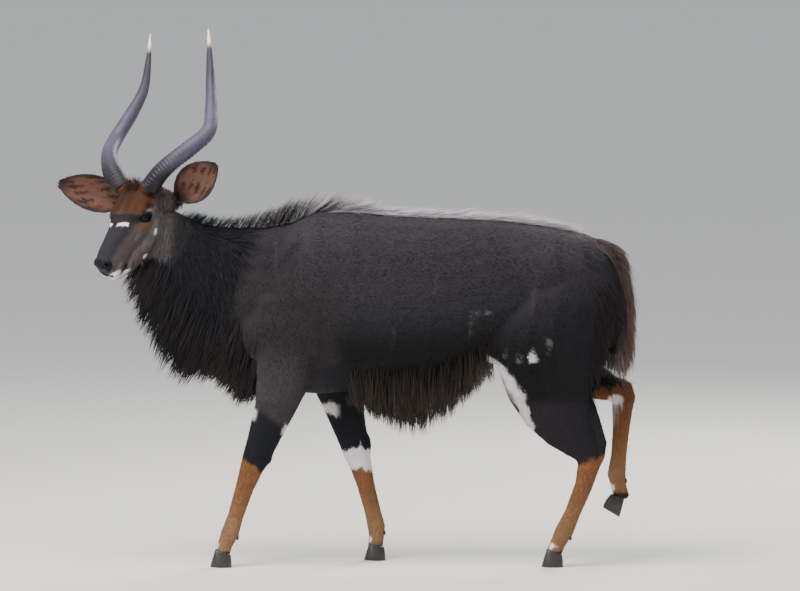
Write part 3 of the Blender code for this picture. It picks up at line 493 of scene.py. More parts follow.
def muscle_masses():
    """Shoulder blades, upper arms, haunches, buttocks and the backs of the knees."""
    made = []
    for side, arm in ((left, -0.455), (right, -0.405)):
        made += [
            ellipsoid("blade", (-0.425, side * 0.086, 0.850), (0.110, 0.044, 0.190), (0, 14, 0)),
            ellipsoid("upper_arm", (arm, side * 0.108, 0.720), (0.135, 0.052, 0.110)),
            ellipsoid("haunch", (0.415, side * 0.078, 0.865), (0.165, 0.074, 0.155)),
            ellipsoid("buttock", (0.520, side * 0.062, 0.820), (0.080, 0.055, 0.145)),
            ellipsoid("flank", (0.215, side * 0.086, 0.735), (0.115, 0.044, 0.105)),
        ]
    made.append(ellipsoid("knee_back", (-0.505, -0.099, 0.366), (0.017, 0.017, 0.044)))
    made.append(ellipsoid("knee_back", (-0.200, 0.099, 0.360), (0.017, 0.017, 0.044)))
    return made


THROAT_ROOTS = (
    (-0.900, -0.022, 1.000),
    (-0.888, -0.018, 0.955),
    (-0.856, -0.012, 0.893),
    (-0.812, -0.008, 0.832),
    (-0.760, -0.004, 0.772),
    (-0.700, 0.000, 0.712),
    (-0.645, 0.000, 0.672),
    (-0.590, 0.000, 0.645),
    (-0.540, 0.000, 0.625),
    (-0.495, 0.000, 0.610),
)
THROAT_TIPS = (
    (-0.955, -0.040, 0.905),
    (-0.952, -0.036, 0.862),
    (-0.925, -0.026, 0.780),
    (-0.885, -0.018, 0.690),
    (-0.838, -0.010, 0.615),
    (-0.782, -0.004, 0.564),
    (-0.712, 0.000, 0.583),
    (-0.655, 0.000, 0.556),
    (-0.600, 0.000, 0.503),
    (-0.550, 0.000, 0.515),
)
BELLY_ROOTS = (
    (-0.250, 0, 0.585),
    (-0.190, 0, 0.595),
    (-0.120, 0, 0.600),
    (-0.055, 0, 0.606),
    (0.010, 0, 0.616),
    (0.070, 0, 0.632),
    (0.120, 0, 0.652),
    (0.165, 0, 0.680),
)
BELLY_TIPS = (
    (-0.240, 0, 0.510),
    (-0.190, 0, 0.480),
    (-0.120, 0, 0.437),
    (-0.050, 0, 0.420),
    (0.008, 0, 0.447),
    (0.077, 0, 0.490),
    (0.137, 0, 0.550),
    (0.172, 0, 0.610),
)
CREST_ROOTS = (
    (-0.820, -0.010, 1.092),
    (-0.740, -0.010, 1.060),
    (-0.650, -0.004, 1.036),
    (-0.550, 0.000, 1.030),
    (-0.450, 0.000, 1.050),
    (-0.350, 0.000, 1.082),
    (-0.200, 0.000, 1.088),
    (0.000, 0.000, 1.074),
    (0.200, 0.000, 1.064),
    (0.340, 0.000, 1.044),
    (0.415, 0.000, 1.022),
)
CREST_TIPS = (
    (-0.765, -0.010, 1.124),
    (-0.685, -0.006, 1.102),
    (-0.592, -0.002, 1.095),
    (-0.484, 0.000, 1.112),
    (-0.375, 0.000, 1.150),
    (-0.270, 0.000, 1.154),
    (-0.110, 0.000, 1.128),
    (0.095, 0.000, 1.112),
    (0.290, 0.000, 1.098),
    (0.425, 0.000, 1.068),
    (0.490, 0.000, 1.040),
)


def fringe(name, roots, tips, share, half_root):
    """The roots of a fringe: a low ridge of flesh and matted hair that the long hair springs from."""
    rings = []
    for root, tip in zip(roots, tips):
        root, tip = Vector(root), Vector(tip)
        rings.append(section(root, root.lerp(tip, share), half_root, Vector((0, 1, 0)), 0.72, 1.5, 16))
    return loft(name, rings)


def body_under_coat():
    pieces = [trunk(), neck_core(), limb("tail", TAIL)]
    legs = (FORE_LEFT, FORE_RIGHT, HIND_LEFT, HIND_RIGHT, HEEL_LEFT, HEEL_RIGHT)
    pieces += [limb("leg", stations) for stations in legs] + muscle_masses()
    pieces += [
        fringe("throat", THROAT_ROOTS, THROAT_TIPS, 0.30, 0.050),
        fringe("belly", BELLY_ROOTS, BELLY_TIPS, 0.30, 0.060),
        fringe("crest", CREST_ROOTS, CREST_TIPS, 0.16, 0.020),
    ]
    body = fused("body", pieces, BODY_VOXEL)
    smoothed(body, BODY_ROUNDS, lambda points: np.clip((points[:, 2] - 0.30) / 0.30, 0.12, 1.0))
    sunk(body, lambda points: COAT_DEPTH * np.clip((points[:, 2] - 0.20) / 0.45, 0.25, 1.0))
    return thinned(body, BODY_FACES)


# The head under the coat
# Skull, jaw, cheeks, brows, lips and lids, modelled finer than the body, with hollows for the
# eyes, pits for the nostrils and the line of the mouth cut in. The coat is thinnest here.
HEAD_VOXEL = 0.0016
HEAD_FACES = 96000
FACE_DEPTH = 0.0012
LIP_LINE = (
    (0.200, -0.1105, 0.0002),
    (0.210, -0.1110, 0.0007),
    (0.224, -0.1100, 0.0010),
    (0.264, -0.0945, 0.0011),
    (0.281, -0.0875, 0.0011),
    (0.312, -0.0780, 0.0011),
)


def skull():
    """The upper head from poll to nose: station, brow line, palate line, half width."""
    stations = (
        (-0.064, -0.040, -0.100, 0.034),
        (-0.045, -0.012, -0.120, 0.051),
        (-0.015, 0.008, -0.126, 0.061),
        (0.020, 0.016, -0.122, 0.066),
        (0.055, 0.017, -0.116, 0.068),
        (0.085, 0.015, -0.112, 0.065),
        (0.115, 0.011, -0.110, 0.054),
        (0.145, 0.008, -0.108, 0.045),
        (0.180, 0.007, -0.106, 0.039),
        (0.215, 0.006, -0.104, 0.0355),
        (0.245, 0.004, -0.098, 0.0340),
        (0.270, -0.002, -0.090, 0.0325),
        (0.288, -0.010, -0.082, 0.0280),
        (0.303, -0.022, -0.068, 0.0165),
    )
    return upright_loft("skull", [(*station, 0.56) for station in stations], 2.3, 36)


JAW = (
    (-0.012, -0.085, -0.146, 0.032),
    (0.020, -0.085, -0.160, 0.043),
    (0.070, -0.085, -0.166, 0.042),
    (0.120, -0.095, -0.164, 0.036),
    (0.170, -0.100, -0.156, 0.030),
    (0.215, -0.100, -0.142, 0.026),
    (0.250, -0.094, -0.124, 0.024),
    (0.276, -0.088, -0.110, 0.020),
    (0.290, -0.084, -0.098, 0.012),
)


def jaw():
    """The lower jaw from its angle to the chin."""
    return upright_loft("jaw", [(*station, 0.5) for station in JAW], 2.1, 32)


def jaw_low(u):
    """The jaw's lower edge at each distance along the face."""
    return np.interp(u, [row[0] for row in JAW], [row[2] for row in JAW])


def face_masses():
    """Brows, cheek bones, chewing muscles, lips, nose wings, lids, and horn and ear seats."""
    made = [ellipsoid("nose_pad", (0.286, 0, -0.030), (0.020, 0.0275, 0.024))]
    for side in (1, -1):
        lid = EYE_RADIUS + 0.0034
        made += [
            ellipsoid("brow", (0.070, side * 0.050, -0.017), (0.040, 0.020, 0.017), (0, 6, 0)),
            ellipsoid("eyelid", (EYE.x, side * EYE.y, EYE.z), (lid, lid, lid)),
            ellipsoid("cheek_bone", (0.100, side * 0.038, -0.066), (0.062, 0.013, 0.020)),
            ellipsoid("chewing", (0.040, side * 0.043, -0.108), (0.060, 0.025, 0.048)),
            ellipsoid("upper_lip", (0.262, side * 0.021, -0.070), (0.036, 0.0150, 0.018)),
            ellipsoid("nose_wing", (0.282, side * 0.0180, -0.024), (0.0175, 0.0130, 0.0150)),
            ellipsoid("horn_seat", (-0.008, side * 0.047, 0.004), (0.032, 0.027, 0.020)),
            ellipsoid("ear_seat", (-0.032, side * 0.056, -0.084), (0.028, 0.028, 0.036)),
            ellipsoid("tear_duct", (0.118, side * 0.0415, -0.046), (0.017, 0.008, 0.006), (0, 24, 0)),
            ellipsoid("cheek", (0.100, side * 0.036, -0.116), (0.062, 0.014, 0.026)),
            ellipsoid("cheek", (0.168, side * 0.0285, -0.110), (0.056, 0.011, 0.022)),
            ellipsoid("cheek", (0.212, side * 0.0265, -0.104), (0.030, 0.009, 0.012)),
        ]
    return made


def eye_axes(side):
    """The eye's gaze, the long line of its lids and the line across them."""
    gaze = Vector((0.26, side, 0.10)).normalized()
    length = Vector((1, side * -0.26, 0.70)).normalized()
    length = (length - gaze * length.dot(gaze)).normalized()
    return gaze, length, gaze.cross(length)


def almond(side):
    """The opening between the lids: a pointed oval pushed in along the gaze."""
    middle = Vector((EYE.x + 0.004, side * EYE.y, EYE.z + 0.001))
    gaze, length, height = eye_axes(side)
    rings = []
    for reach, size in ((0.008, 0.86), (0.017, 0.97), (0.024, 1.06), (0.034, 1.3)):
        top = middle + gaze * reach + height * 0.0122 * size
        low = middle + gaze * reach - height * 0.0122 * size
        rings.append(section(top, low, 0.0212 * size, length, 0.5, 1.60, 36))
    return loft("almond", rings)


def face_cuts(head):
    """Eyeball hollows, lid openings, nostrils and the line of the mouth."""
    for side in (1, -1):
        centre = (EYE.x, side * EYE.y, EYE.z)
        hollow = ellipsoid("hollow", centre, (EYE_RADIUS + 0.0004,) * 3, segments=48)
        head = boolean(head, hollow, "DIFFERENCE")
        head = boolean(head, almond(side), "DIFFERENCE")
        for spot, radii, turn in (
            ((0.2925, 0.0210, -0.0235), (0.0100, 0.0044, 0.0078), (0, 20, 32)),
            ((0.2845, 0.0275, -0.0280), (0.0090, 0.0030, 0.0034), (0, 30, 14)),
        ):
            place = (spot[0], side * spot[1], spot[2])
            pit = ellipsoid("nostril", place, radii, (turn[0], turn[1], side * turn[2]), 24)
            head = boolean(head, pit, "DIFFERENCE")
    slit = [(u, w + half, w - half, 0.06, 0.5) for u, w, half in LIP_LINE]
    head = boolean(head, upright_loft("mouth", slit, 8, 8), "DIFFERENCE")
    groove = ellipsoid("philtrum", (0.3065, 0, -0.060), (0.0045, 0.0011, 0.020), segments=16)
    return boolean(head, groove, "DIFFERENCE")


def head_under_coat():
    head = fused("head", [skull(), jaw()] + face_masses(), HEAD_VOXEL)
    smoothed(head, 30, lambda points: np.clip((0.30 - points[:, 0]) / 0.12, 0.30, 1.0))
    sunk(head, lambda points: FACE_DEPTH * np.clip((0.27 - points[:, 0]) / 0.05, 0, 1))
    head = face_cuts(thinned(head, HEAD_FACES))
    smoothed(head, 2, lambda points: np.full(len(points), 0.7))
    head.data.transform(HEAD)
    return head


# The ears
# Two broad leaves of gristle and thin skin, rolled to a funnel at the root, open to the front
# and spread to the sides. They grow out of the same skin as the head.
EAR_LENGTH = {1: 0.236, -1: 0.256}
EAR_AXIS = {1: Vector((-0.21, 0.89, 0.40)), -1: Vector((0.20, -0.76, 0.66))}
EAR_MOUTH = {1: Vector((0.87, 0.03, 0.49)), -1: Vector((0.74, 0.55, 0.38))}
EAR_ROOT = Vector((-0.040, 0.072, -0.100))
EAR_HALF_ARC = (0.018, 0.040, 0.058, 0.068, 0.071, 0.067, 0.056, 0.038, 0.011)
EAR_OPENING = (150, 118, 88, 70, 60, 54, 50, 46, 40)
EAR_ACROSS, EAR_ROWS = 29, 41


def ear_sheet(side):
    """The ear's middle surface in the head's frame, its normals towards the cup."""
    axis = EAR_AXIS[side].normalized()
    mouth = (EAR_MOUTH[side] - axis * EAR_MOUTH[side].dot(axis)).normalized()
    width = axis.cross(mouth)
    root = Vector((EAR_ROOT.x, side * EAR_ROOT.y, EAR_ROOT.z))
    shape = bmesh.new()
    grid = []
    for row in range(EAR_ROWS):
        share = row / (EAR_ROWS - 1)
        at = share * (len(EAR_HALF_ARC) - 1)
        half = float(np.interp(at, range(len(EAR_HALF_ARC)), EAR_HALF_ARC))
        bend = math.radians(float(np.interp(at, range(len(EAR_OPENING)), EAR_OPENING)))
        radius = half / bend
        back = root + axis * (share * EAR_LENGTH[side]) - mouth * (0.016 - 0.05 * (share - 0.35) ** 2)
        line = []
        for step in range(EAR_ACROSS):
            place = 2 * step / (EAR_ACROSS - 1) - 1
            turn = bend * place
            ripple = 0.0012 * math.sin(9 * place) * math.sin(math.pi * share)
            lean = width * radius * math.sin(turn) + mouth * (radius * (1 - math.cos(turn)) + ripple)
            line.append(shape.verts.new(back + lean))
        grid.append(line)
    for lower, upper in zip(grid, grid[1:]):
        for step in range(EAR_ACROSS - 1):
            shape.faces.new((lower[step], lower[step + 1], upper[step + 1], upper[step]))
    return from_bmesh("ear", shape)


ear_trees = {}


def ear_under_coat(side):
    """The sheet made as thick as the ear, the same all over."""
    sheet = ear_sheet(side)
    sheet.data.transform(HEAD)
    faces = [tuple(face.vertices) for face in sheet.data.polygons]
    ear_trees[side] = BVHTree.FromPolygons([point.co for point in sheet.data.vertices], faces)
    skin = sheet.modifiers.new("ear skin", "SOLIDIFY")
    skin.thickness = 0.0030
    skin.offset = 0
    made = evaluated(sheet)
    shape = bmesh.new()
    shape.from_mesh(made.data)
    bmesh.ops.recalc_face_normals(shape, faces=shape.faces)
    shape.to_mesh(made.data)
    shape.free()
    return made


# The skin
# Body, head and ears become one skin with no seam, and the joins behind the cheeks and round
# the ears are rubbed smooth. An unwrap of this skin gives every tuft of the coat its place.
def in_head(points):
    """Places in the head's own frame."""
    axes = np.array(HEAD.to_3x3())
    return (points - np.array(POLL)) @ axes


def soft(value, start, end):
    """0 before start, 1 after end, and a smooth rise between them."""
    share = np.clip((value - start) / (end - start), 0, 1)
    return share * share * (3 - 2 * share)


def fading(value, start, end):
    """1 before start, 0 after end: soft the other way round."""
    return 1 - soft(value, start, end)


def near_join(points):
    """Where the head meets the neck and the ears meet the head."""
    place = in_head(points)
    centre = np.array((-0.045, 0, -0.085))
    reach = np.linalg.norm((place - centre) / np.array((0.060, 0.115, 0.105)), axis=1)
    return fading(reach, 0.55, 1.1)


skin = body_under_coat()
skin = boolean(skin, head_under_coat(), "UNION")
for side in (1, -1):
    skin = boolean(skin, ear_under_coat(side), "UNION")
smoothed(skin, 24, near_join)
skin.name = "skin"
skin.data.shade_smooth()
bpy.context.view_layer.objects.active = skin
skin.select_set(True)
bpy.ops.object.mode_set(mode="EDIT")
bpy.ops.mesh.select_all(action="SELECT")
bpy.ops.uv.smart_project(angle_limit=math.radians(66), island_margin=0.001)
bpy.ops.object.mode_set(mode="OBJECT")
skin.data.uv_layers[0].name = "OFBake"

skin.data.calc_loop_triangles()
skin_points = column(skin.data)
skin_normals = column(skin.data, "normal")
corners = np.empty(len(skin.data.loop_triangles) * 3, np.int64)
skin.data.loop_triangles.foreach_get("vertices", corners)
corners = corners.reshape(-1, 3)
loops = np.empty(len(corners) * 3, np.int64)
skin.data.loop_triangles.foreach_get("loops", loops)
unwrap = np.empty(len(skin.data.loops) * 2)
skin.data.uv_layers[0].data.foreach_get("uv", unwrap)
unwrap = unwrap.reshape(-1, 2)[loops].reshape(-1, 3, 2)
edges_of = skin_points[corners]
area = np.linalg.norm(
    np.cross(edges_of[:, 1] - edges_of[:, 0], edges_of[:, 2] - edges_of[:, 0]), axis=1
) / 2


# The markings
# One rule gives the colour of any place on the animal, for the skin and for each tuft over it:
# slate brown flanks, near black neck, rufous brow, white chevron, spots and bands, tan shanks.
# Some light and shade is painted in as well: a lighter back, upper arm and upper lids, and a
# darker crease, underside and far hind shank.
SLATE = paint("#282629")
BLACK = paint("#191a1f")
BROWN_GREY = paint("#585153")
WHITE = paint("#dad5d6")
RUFOUS = paint("#3a2217")
TAN = paint("#744d32")
THIGH_LINE = (
    (0.370, 0.345),
    (0.453, 0.322),
    (0.516, 0.303),
    (0.563, 0.278),
    (0.626, 0.236),
    (0.675, 0.172),
)


def over(base, colour, share):
    """Lays a colour over the base by a share for each place. Both may be one colour or many."""
    share = np.asarray(share).reshape(-1, 1)
    return np.array(base) * (1 - share) + np.array(colour) * share


def blot(points, centre, radii, rim=0.35):
    """1 inside an oval spot, 0 outside it, soft at the rim."""
    reach = np.linalg.norm((points - np.array(centre)) / np.array(radii), axis=1)
    return fading(reach, 1 - rim, 1 + rim)


def slanted(along_it, above_it, cosine, sine, length, height):
    """How far each place lies from the middle of a slanted oval: 1 on its edge."""
    first = (along_it * cosine + above_it * sine) / length
    second = (above_it * cosine - along_it * sine) / height
    return np.hypot(first, second)


def behind_cheek(place):
    """How far a place in the head's frame lies from the head towards the neck."""
    u, v, w = place.T
    return -0.381 * u + 0.789 * v - 0.482 * (w + 0.05)


def head_share(points):
    """1 on the head, 0 on the neck and body, with a soft edge behind the cheek and ears."""
    place = in_head(points)
    u, v, w = place.T
    behind = soft(u + 0.35 * np.clip(-w - 0.08, 0, 1), -0.082, -0.050)
    beside = (np.abs(v) < 0.115) & (w > jaw_low(u) - 0.014) & (w < 0.10) & (u < 0.34)
    return behind * beside * fading(behind_cheek(place), 0.078, 0.100)


def ear_share(points, normals):
    """For each place: 1 on an ear, 1 on its cup side, how far across and how far up the leaf."""
    on, cup = np.zeros(len(points)), np.zeros(len(points))
    across, up = np.zeros(len(points)), np.zeros(len(points))
    u, v, w = in_head(points).T
    ready = (np.abs(v) > 0.050) & (u < 0.12) & (np.linalg.norm([u, v, w], axis=0) < 0.34)
    for index in np.flatnonzero(ready):
        side = 1 if v[index] > 0 else -1
        spot, normal, face, gap = ear_trees[side].find_nearest(Vector(points[index]))
        if gap < 0.0042:
            on[index] = 1
            cup[index] = float(normal.dot(Vector(normals[index])) > 0)
            across[index] = 2 * (face % (EAR_ACROSS - 1) + 0.5) / (EAR_ACROSS - 1) - 1
            up[index] = (face // (EAR_ACROSS - 1) + 0.5) / (EAR_ROWS - 1)
    on *= soft(up, 0.05, 0.16)
    return on, cup, across, up


def mane_share(points):
    """1 on the neck and chest, where the hair is long and dark, 0 behind the line of the shoulder."""
    x, _, z = points.T
    heights = (0.50, 0.60, 0.70, 0.80, 0.88, 1.00, 1.06)
    edges = (-0.625, -0.645, -0.662, -0.658, -0.640, -0.605, -0.585)
    return soft(np.interp(z, heights, edges) - x, -0.030, 0.030) * soft(z, 0.50, 0.56)


def leg_tone(points, normals):
    """Black forearms, tan shanks, white inner knees and pastern spots."""
    x, y, z = points.T
    fore = x < 0.1
    near = y * left > 0
    raised = ~fore & ~near
    height = np.where(raised, z - 0.165, z)
    inwards = -normals[:, 1] * np.sign(y)
    facing_in = soft(inwards, -0.15, 0.35)
    elbow = np.where(near, 0.505 - 0.704 * (x + 0.546), 0.530)
    colour = over(SLATE, paint("#343133"), fore & near)
    colour = over(colour, BLACK, fore * fading(z - elbow, -0.012, 0.012))
    colour = over(colour, paint("#201e21"), ~fore * 0.85)
    ragged = 0.006 * np.sin(90 * x + 40 * y) + 0.004 * np.sin(210 * x + 130 * y)
    fore_line = np.where(near, 0.344 - 0.59 * (x + 0.594), 0.322 - 0.35 * (x + 0.235))
    hind_line = np.where(near, 0.366 - 0.50 * (0.560 - x), 0.560 + 0.20 * (x - 0.60))
    line = np.where(fore, fore_line, hind_line) + ragged
    shank = fading(z, line - 0.006, line + 0.006)
    tan = over(TAN, paint("#86684c"), fading(height, 0.10, 0.26) * 0.75)
    mottled = 0.5 + 0.5 * np.sin(61 * z + 17 * x) * np.sin(83 * z - 23 * x + 1)
    tan = over(tan, paint("#664329"), mottled * 0.35)
    colour = over(colour, tan, shank)
    knee = np.where(near, 0.305, 0.322)
    patch = fading(np.abs(z - knee - ragged), 0.030, 0.036) * fore
    hock_x, hock_z = np.where(near, 0.475, 0.583), np.where(near, 0.335, 0.507)
    off_hock = np.hypot((x - hock_x) / 0.024, (z - hock_z) / np.where(near, 0.034, 0.017))
    hock = fading(off_hock, 0.7, 1.2)
    # Painted shade: the far hind leg's upper shank darker than the near one's.
    colour = over(colour, paint("#5f3a26"), raised * soft(z, 0.40, 0.50) * shank * 0.7)
    off_trail = np.abs(x - 0.574 - 0.1 * (z - 0.46))
    trail = raised * fading(off_trail, 0.006, 0.013) * soft(z, 0.415, 0.44) * fading(z, 0.49, 0.51)
    colour = over(colour, paint("#a39a98"), facing_in * trail * 0.7)
    colour = over(colour, WHITE, facing_in * np.where(fore, patch, hock * 0.9))
    top = np.where(near, 0.478 - 0.40 * (x + 0.554), 0.470 - 0.3 * (x + 0.29))
    top = fading(np.abs(z - top - ragged), 0.014, 0.022) * fore
    reach = np.where(near, soft(inwards, -0.85, -0.55), facing_in * fading(x, -0.302, -0.276))
    colour = over(colour, WHITE, top * reach * 0.85)
    beside = (np.abs(np.abs(y) - 0.093) - 0.010) / 0.006
    pastern = fading(np.hypot((height - 0.066) / 0.011, beside), 0.7, 1.2)
    colour = over(colour, WHITE, pastern * (normals[:, 0] < 0.1))
    return over(colour, paint("#2b211d"), fading(height, 0.046, 0.054))


def body_tone(points, normals):
    """Slate flanks, a browner shoulder, a dark neck, thin pale stripes and white spots, with painted
    light on the back and upper arm and painted shade low on the flanks, under the belly and in the
    crease behind the shoulder.
    """
    x, y, z = points.T
    colour = SLATE
    for tone, share in (
        # painted light: the back lighter, as lit from above
        ("#322e32", soft(z, 0.93, 1.08) * 0.75),  # back
        ("#242122", fading(x, -0.36, -0.20) * fading(z, 0.76, 1.04) * 0.75),  # shoulder
        ("#3a3438", soft(x, 0.18, 0.36) * soft(z, 0.90, 1.00) * fading(x, 0.46, 0.52) * 0.5),  # croup
        # painted shade: the flanks darken towards the underside
        ("#0d0d0f", fading(z, 0.66, 0.86) * soft(x, -0.36, -0.24) * 0.92),  # belly
        ("#19171a", soft(x, 0.30, 0.46) * fading(z, 0.78, 0.92) * 0.85),  # thigh
        ("#2a2426", soft(x, 0.50, 0.58) * fading(z, 0.80, 0.98) * 0.6),  # buttock
    ):
        colour = over(colour, paint(tone), share)
    # Painted light and shade: fine horizontal ripples of the lying hair, lighter and darker in turn.
    ripple = np.sin(640 * z + 6 * np.sin(21 * x) + 4 * np.sin(47 * x + 30 * z))
    ripple *= 0.09 * np.sin(190 * x + 40 * z) * soft(z, 0.60, 0.70)
    colour = colour * (1 + ripple).reshape(-1, 1)
    # Painted light: the upper arm lighter above the elbow.
    colour = over(colour, paint("#3a3638"), fading(x, -0.42, -0.36) * fading(z, 0.60, 0.70) * 0.7)
    colour = over(colour, paint("#1d191c"), fading(x, -0.48, -0.38) * soft(z, 0.88, 0.98) * 0.6)
    # Painted shade: a dark line in the crease behind the shoulder.
    off_crease = (x + 0.352 - 0.03 * (0.86 - z)) / 0.016
    crease_shade = np.exp(-(off_crease**2)) * fading(z, 0.78, 0.90) * soft(z, 0.56, 0.62)
    colour = over(colour, paint("#1e1c1f"), crease_shade * 0.6)
    # Under the chest and belly: partly the near black roots of the fringe, partly painted shade.
    under = fading(z, 0.605, 0.655) * np.maximum(soft(x, -0.36, -0.32), np.abs(y) < 0.075)
    colour = over(colour, BLACK, under * fading(x, 0.14, 0.20) * 0.8)
    neck = mane_share(points)
    streaks = 0.5 + 0.5 * np.sin(150 * x + 22 * z) * np.sin(67 * x + 9 * z + 2)
    colour = over(colour, over(BLACK, paint("#29272c"), streaks * 0.6), neck)
    place = (points - np.array(HEAD @ Vector((-0.02, 0, -0.07)))) / np.array((0.100, 0.125, 0.250))
    collar = fading(np.linalg.norm(place, axis=1) + 0.16 * streaks, 0.72, 1.22)
    streaked = over(paint("#373233"), paint("#5d5450"), streaks * 0.7)
    colour = over(colour, streaked, collar * neck)
    for place, low, high, width, strength in (
        (-0.487, 0.90, 1.05, 0.0050, 0.025),
        (-0.110, 0.68, 0.78, 0.0035, 0.06),
        (-0.200, 0.71, 0.76, 0.0035, 0.10),
        (0.132, 0.70, 0.84, 0.0040, 0.09),
        (0.020, 0.84, 0.98, 0.0045, 0.05),
        (0.330, 0.80, 0.96, 0.0045, 0.04),
    ):
        wander = place + 0.006 * np.sin(z * 13 + place * 20) + 0.06 * (z - 0.9)
        stripe = np.exp(-(((x - wander) / width) ** 2)) * soft(z, low, low + 0.05)
        stripe *= fading(z, high - 0.05, high) * (normals[:, 2] < 0.8)
        colour = over(colour, paint("#a39c9d"), stripe * strength)
    for spot_x, spot_z, size, strength in (
        (0.146, 0.803, 0.0075, 0.11),
        (0.176, 0.803, 0.0075, 0.09),
        (0.315, 0.662, 0.0135, 0.80),
        (0.369, 0.711, 0.0110, 0.09),
        (0.232, 0.667, 0.008, 0.08),
        (0.272, 0.650, 0.008, 0.10),
    ):
        reach = np.hypot(x - spot_x, z - spot_z) / size
        colour = over(colour, WHITE, fading(reach, 0.7, 1.2) * strength * (z > 0.55))
    ridge = fading(np.abs(y), 0.016, 0.040) * soft(normals[:, 2], 0.0, 0.4)
    ridge *= soft(x, -0.38, -0.20) * fading(x, 0.38, 0.46) * soft(z, 0.9, 1.0)
    colour = over(colour, paint("#c5bec3"), ridge * 0.9)
    edge = np.interp(z, [row[0] for row in THIGH_LINE], [row[1] for row in THIGH_LINE])
    edge = np.where(y * left > 0, edge, edge + 0.10 * fading(z, 0.56, 0.68))
    edge = edge + 0.004 * np.sin(z * 130)
    band = (x > 0.15) * fading(x, edge - 0.006, edge + 0.006)
    band = band * soft(z, 0.355, 0.385) * fading(z, 0.655, 0.68)
    strength = soft(np.abs(y), 0.030, 0.060) * (1 - 0.5 * soft(z, 0.625, 0.655))
    colour = over(colour, paint("#bbb6b6"), band * strength)
    groin = band * fading(x - edge, -0.044, -0.026) * soft(z, 0.44, 0.52)
    colour = over(colour, paint("#5d5351"), groin * 0.85)
    inner = (np.abs(y) < 0.085) * (normals[:, 1] * np.sign(y) < -0.1) * fading(z, 0.56, 0.66)
    colour = over(colour, paint("#8b8481"), inner * soft(x, 0.2, 0.3) * fading(x, 0.38, 0.44) * 0.7)
    armpit = blot(points, (-0.300, -0.10, 0.660), (0.024, 0.06, 0.020), 0.7)
    return over(colour, paint("#4a3c3a"), armpit * 0.22)


def face_tone(points):
    """The head's markings, with a painted highlight along each upper lid, in its own frame."""
    place = in_head(points)
    place[:, 1] = np.abs(place[:, 1])
    u, v, w = place.T
    streaks = 0.5 + 0.5 * np.sin(310 * v + 90 * u) * np.sin(190 * v - 120 * u + 1)
    colour = over(BROWN_GREY, paint("#675d5a"), streaks * 0.5)
    cheek = fading(u, -0.01, 0.060) * fading(w, -0.07, -0.02)
    colour = over(colour, paint("#5c534f"), cheek * (0.4 + 0.5 * streaks))
    down_face = u + 0.25 * v
    brow = soft(w + 0.62 * v, -0.012, 0.024) * fading(down_face, 0.104, 0.124)
    colour = over(colour, RUFOUS, brow)
    colour = over(colour, paint("#452919"), brow * soft(v, 0.018, 0.034) * 0.55)
    crown = blot(place, (0.020, 0.0, 0.02), (0.060, 0.030, 0.06), 0.8)
    colour = over(colour, paint("#2b1a16"), crown * (0.45 + 0.5 * streaks))
    band = soft(down_face, 0.106, 0.118) * fading(down_face, 0.150, 0.170)
    band *= soft(w + 0.55 * v, -0.020, 0.010)
    colour = over(colour, paint("#171317"), band * 0.95)
    muzzle = soft(w + 0.45 * v, -0.030, 0.000) * soft(u, 0.132, 0.158)
    colour = over(colour, paint("#1f1e24"), muzzle * 0.9)
    colour = over(colour, paint("#463b37"), soft(u, 0.10, 0.20) * (1 - muzzle) * 0.55)
    past_eye, over_eye = u - EYE.x, w - EYE.z
    level = np.stack([0.67 * past_eye + 0.75 * over_eye, v, 0.75 * past_eye - 0.67 * over_eye], 1)
    for tone, centre, radii, rim, share in (
        ("#604538", (0.004, 0.050, 0.034), (0.036, 0.04, 0.017), 0.8, 0.60),
        ("#705744", (-0.006, 0.060, 0.028), (0.022, 0.03, 0.010), 0.8, 0.45),
        # the pale upper lid: partly its own pale skin, partly a painted highlight
        ("#8f8078", (-0.010, 0.060, -0.0205), (0.018, 0.03, 0.0045), 0.6, 0.60),
        ("#1f191b", (-0.012, 0.056, -0.037), (0.020, 0.03, 0.0080), 0.7, 0.85),
        ("#1f191b", (0.026, 0.048, 0.004), (0.014, 0.03, 0.0060), 0.6, 0.85),
        ("#dad5d6", (-0.047, 0.060, 0.046), (0.0048, 0.03, 0.0108), 0.30, 0.95),
    ):
        colour = over(colour, paint(tone), blot(level, centre, radii, rim) * share)
    slit = slanted(past_eye - 0.002, over_eye, 0.86, 0.51, 0.0275, 0.0155)
    colour = over(colour, paint("#171314"), fading(slit, 0.85, 1.15) * (v > 0.035))
    duct = blot(place, (0.107, 0.046, -0.026), (0.014, 0.03, 0.006), 0.5)
    colour = over(colour, paint("#1e191b"), duct * 0.8)
    slant = u - 0.149 + 0.50 * (v - 0.020)
    bar = fading(np.abs(slant), 0.0046, 0.0062) * soft(v, 0.0085, 0.0110) * fading(v, 0.036, 0.039)
    colour = over(colour, paint("#efecec"), bar * (w > -0.04))
    lower_spot = slanted(u - 0.154, w + 0.141, 0.85, 0.53, 0.0125, 0.0068)
    colour = over(colour, WHITE, fading(lower_spot, 0.8, 1.15) * (v > 0.008))
    lip = np.interp(u, [row[0] for row in LIP_LINE], [row[1] for row in LIP_LINE])
    upper = soft(u, 0.268, 0.282) * fading(w - lip, 0.018, 0.024) * soft(w - lip, -0.001, 0.001)
    colour = over(colour, paint("#d2cfce"), upper * soft(v, 0.011, 0.014))
    lower = soft(u, 0.224, 0.244) * fading(w - lip, -0.002, 0.000) * soft(w - lip, -0.016, -0.010)
    colour = over(colour, paint("#c9c6c4"), lower)
    chin = soft(u, 0.235, 0.262) * soft(lip - w, 0.012, 0.020)
    colour = over(colour, paint("#8d8786"), chin * 0.8)
    return over(colour, paint("#17161a"), nose_share(points))


def nose_share(points):
    """1 on the wet black pad round the nostrils."""
    place = in_head(points)
    u, v, w = place.T
    pad = blot(place, (0.293, 0, -0.030), (0.0235, 0.0345, 0.0270), 0.12)
    strip = soft(u, 0.286, 0.292) * fading(np.abs(v), 0.010, 0.013) * soft(w, -0.086, -0.080)
    return np.maximum(pad, strip)


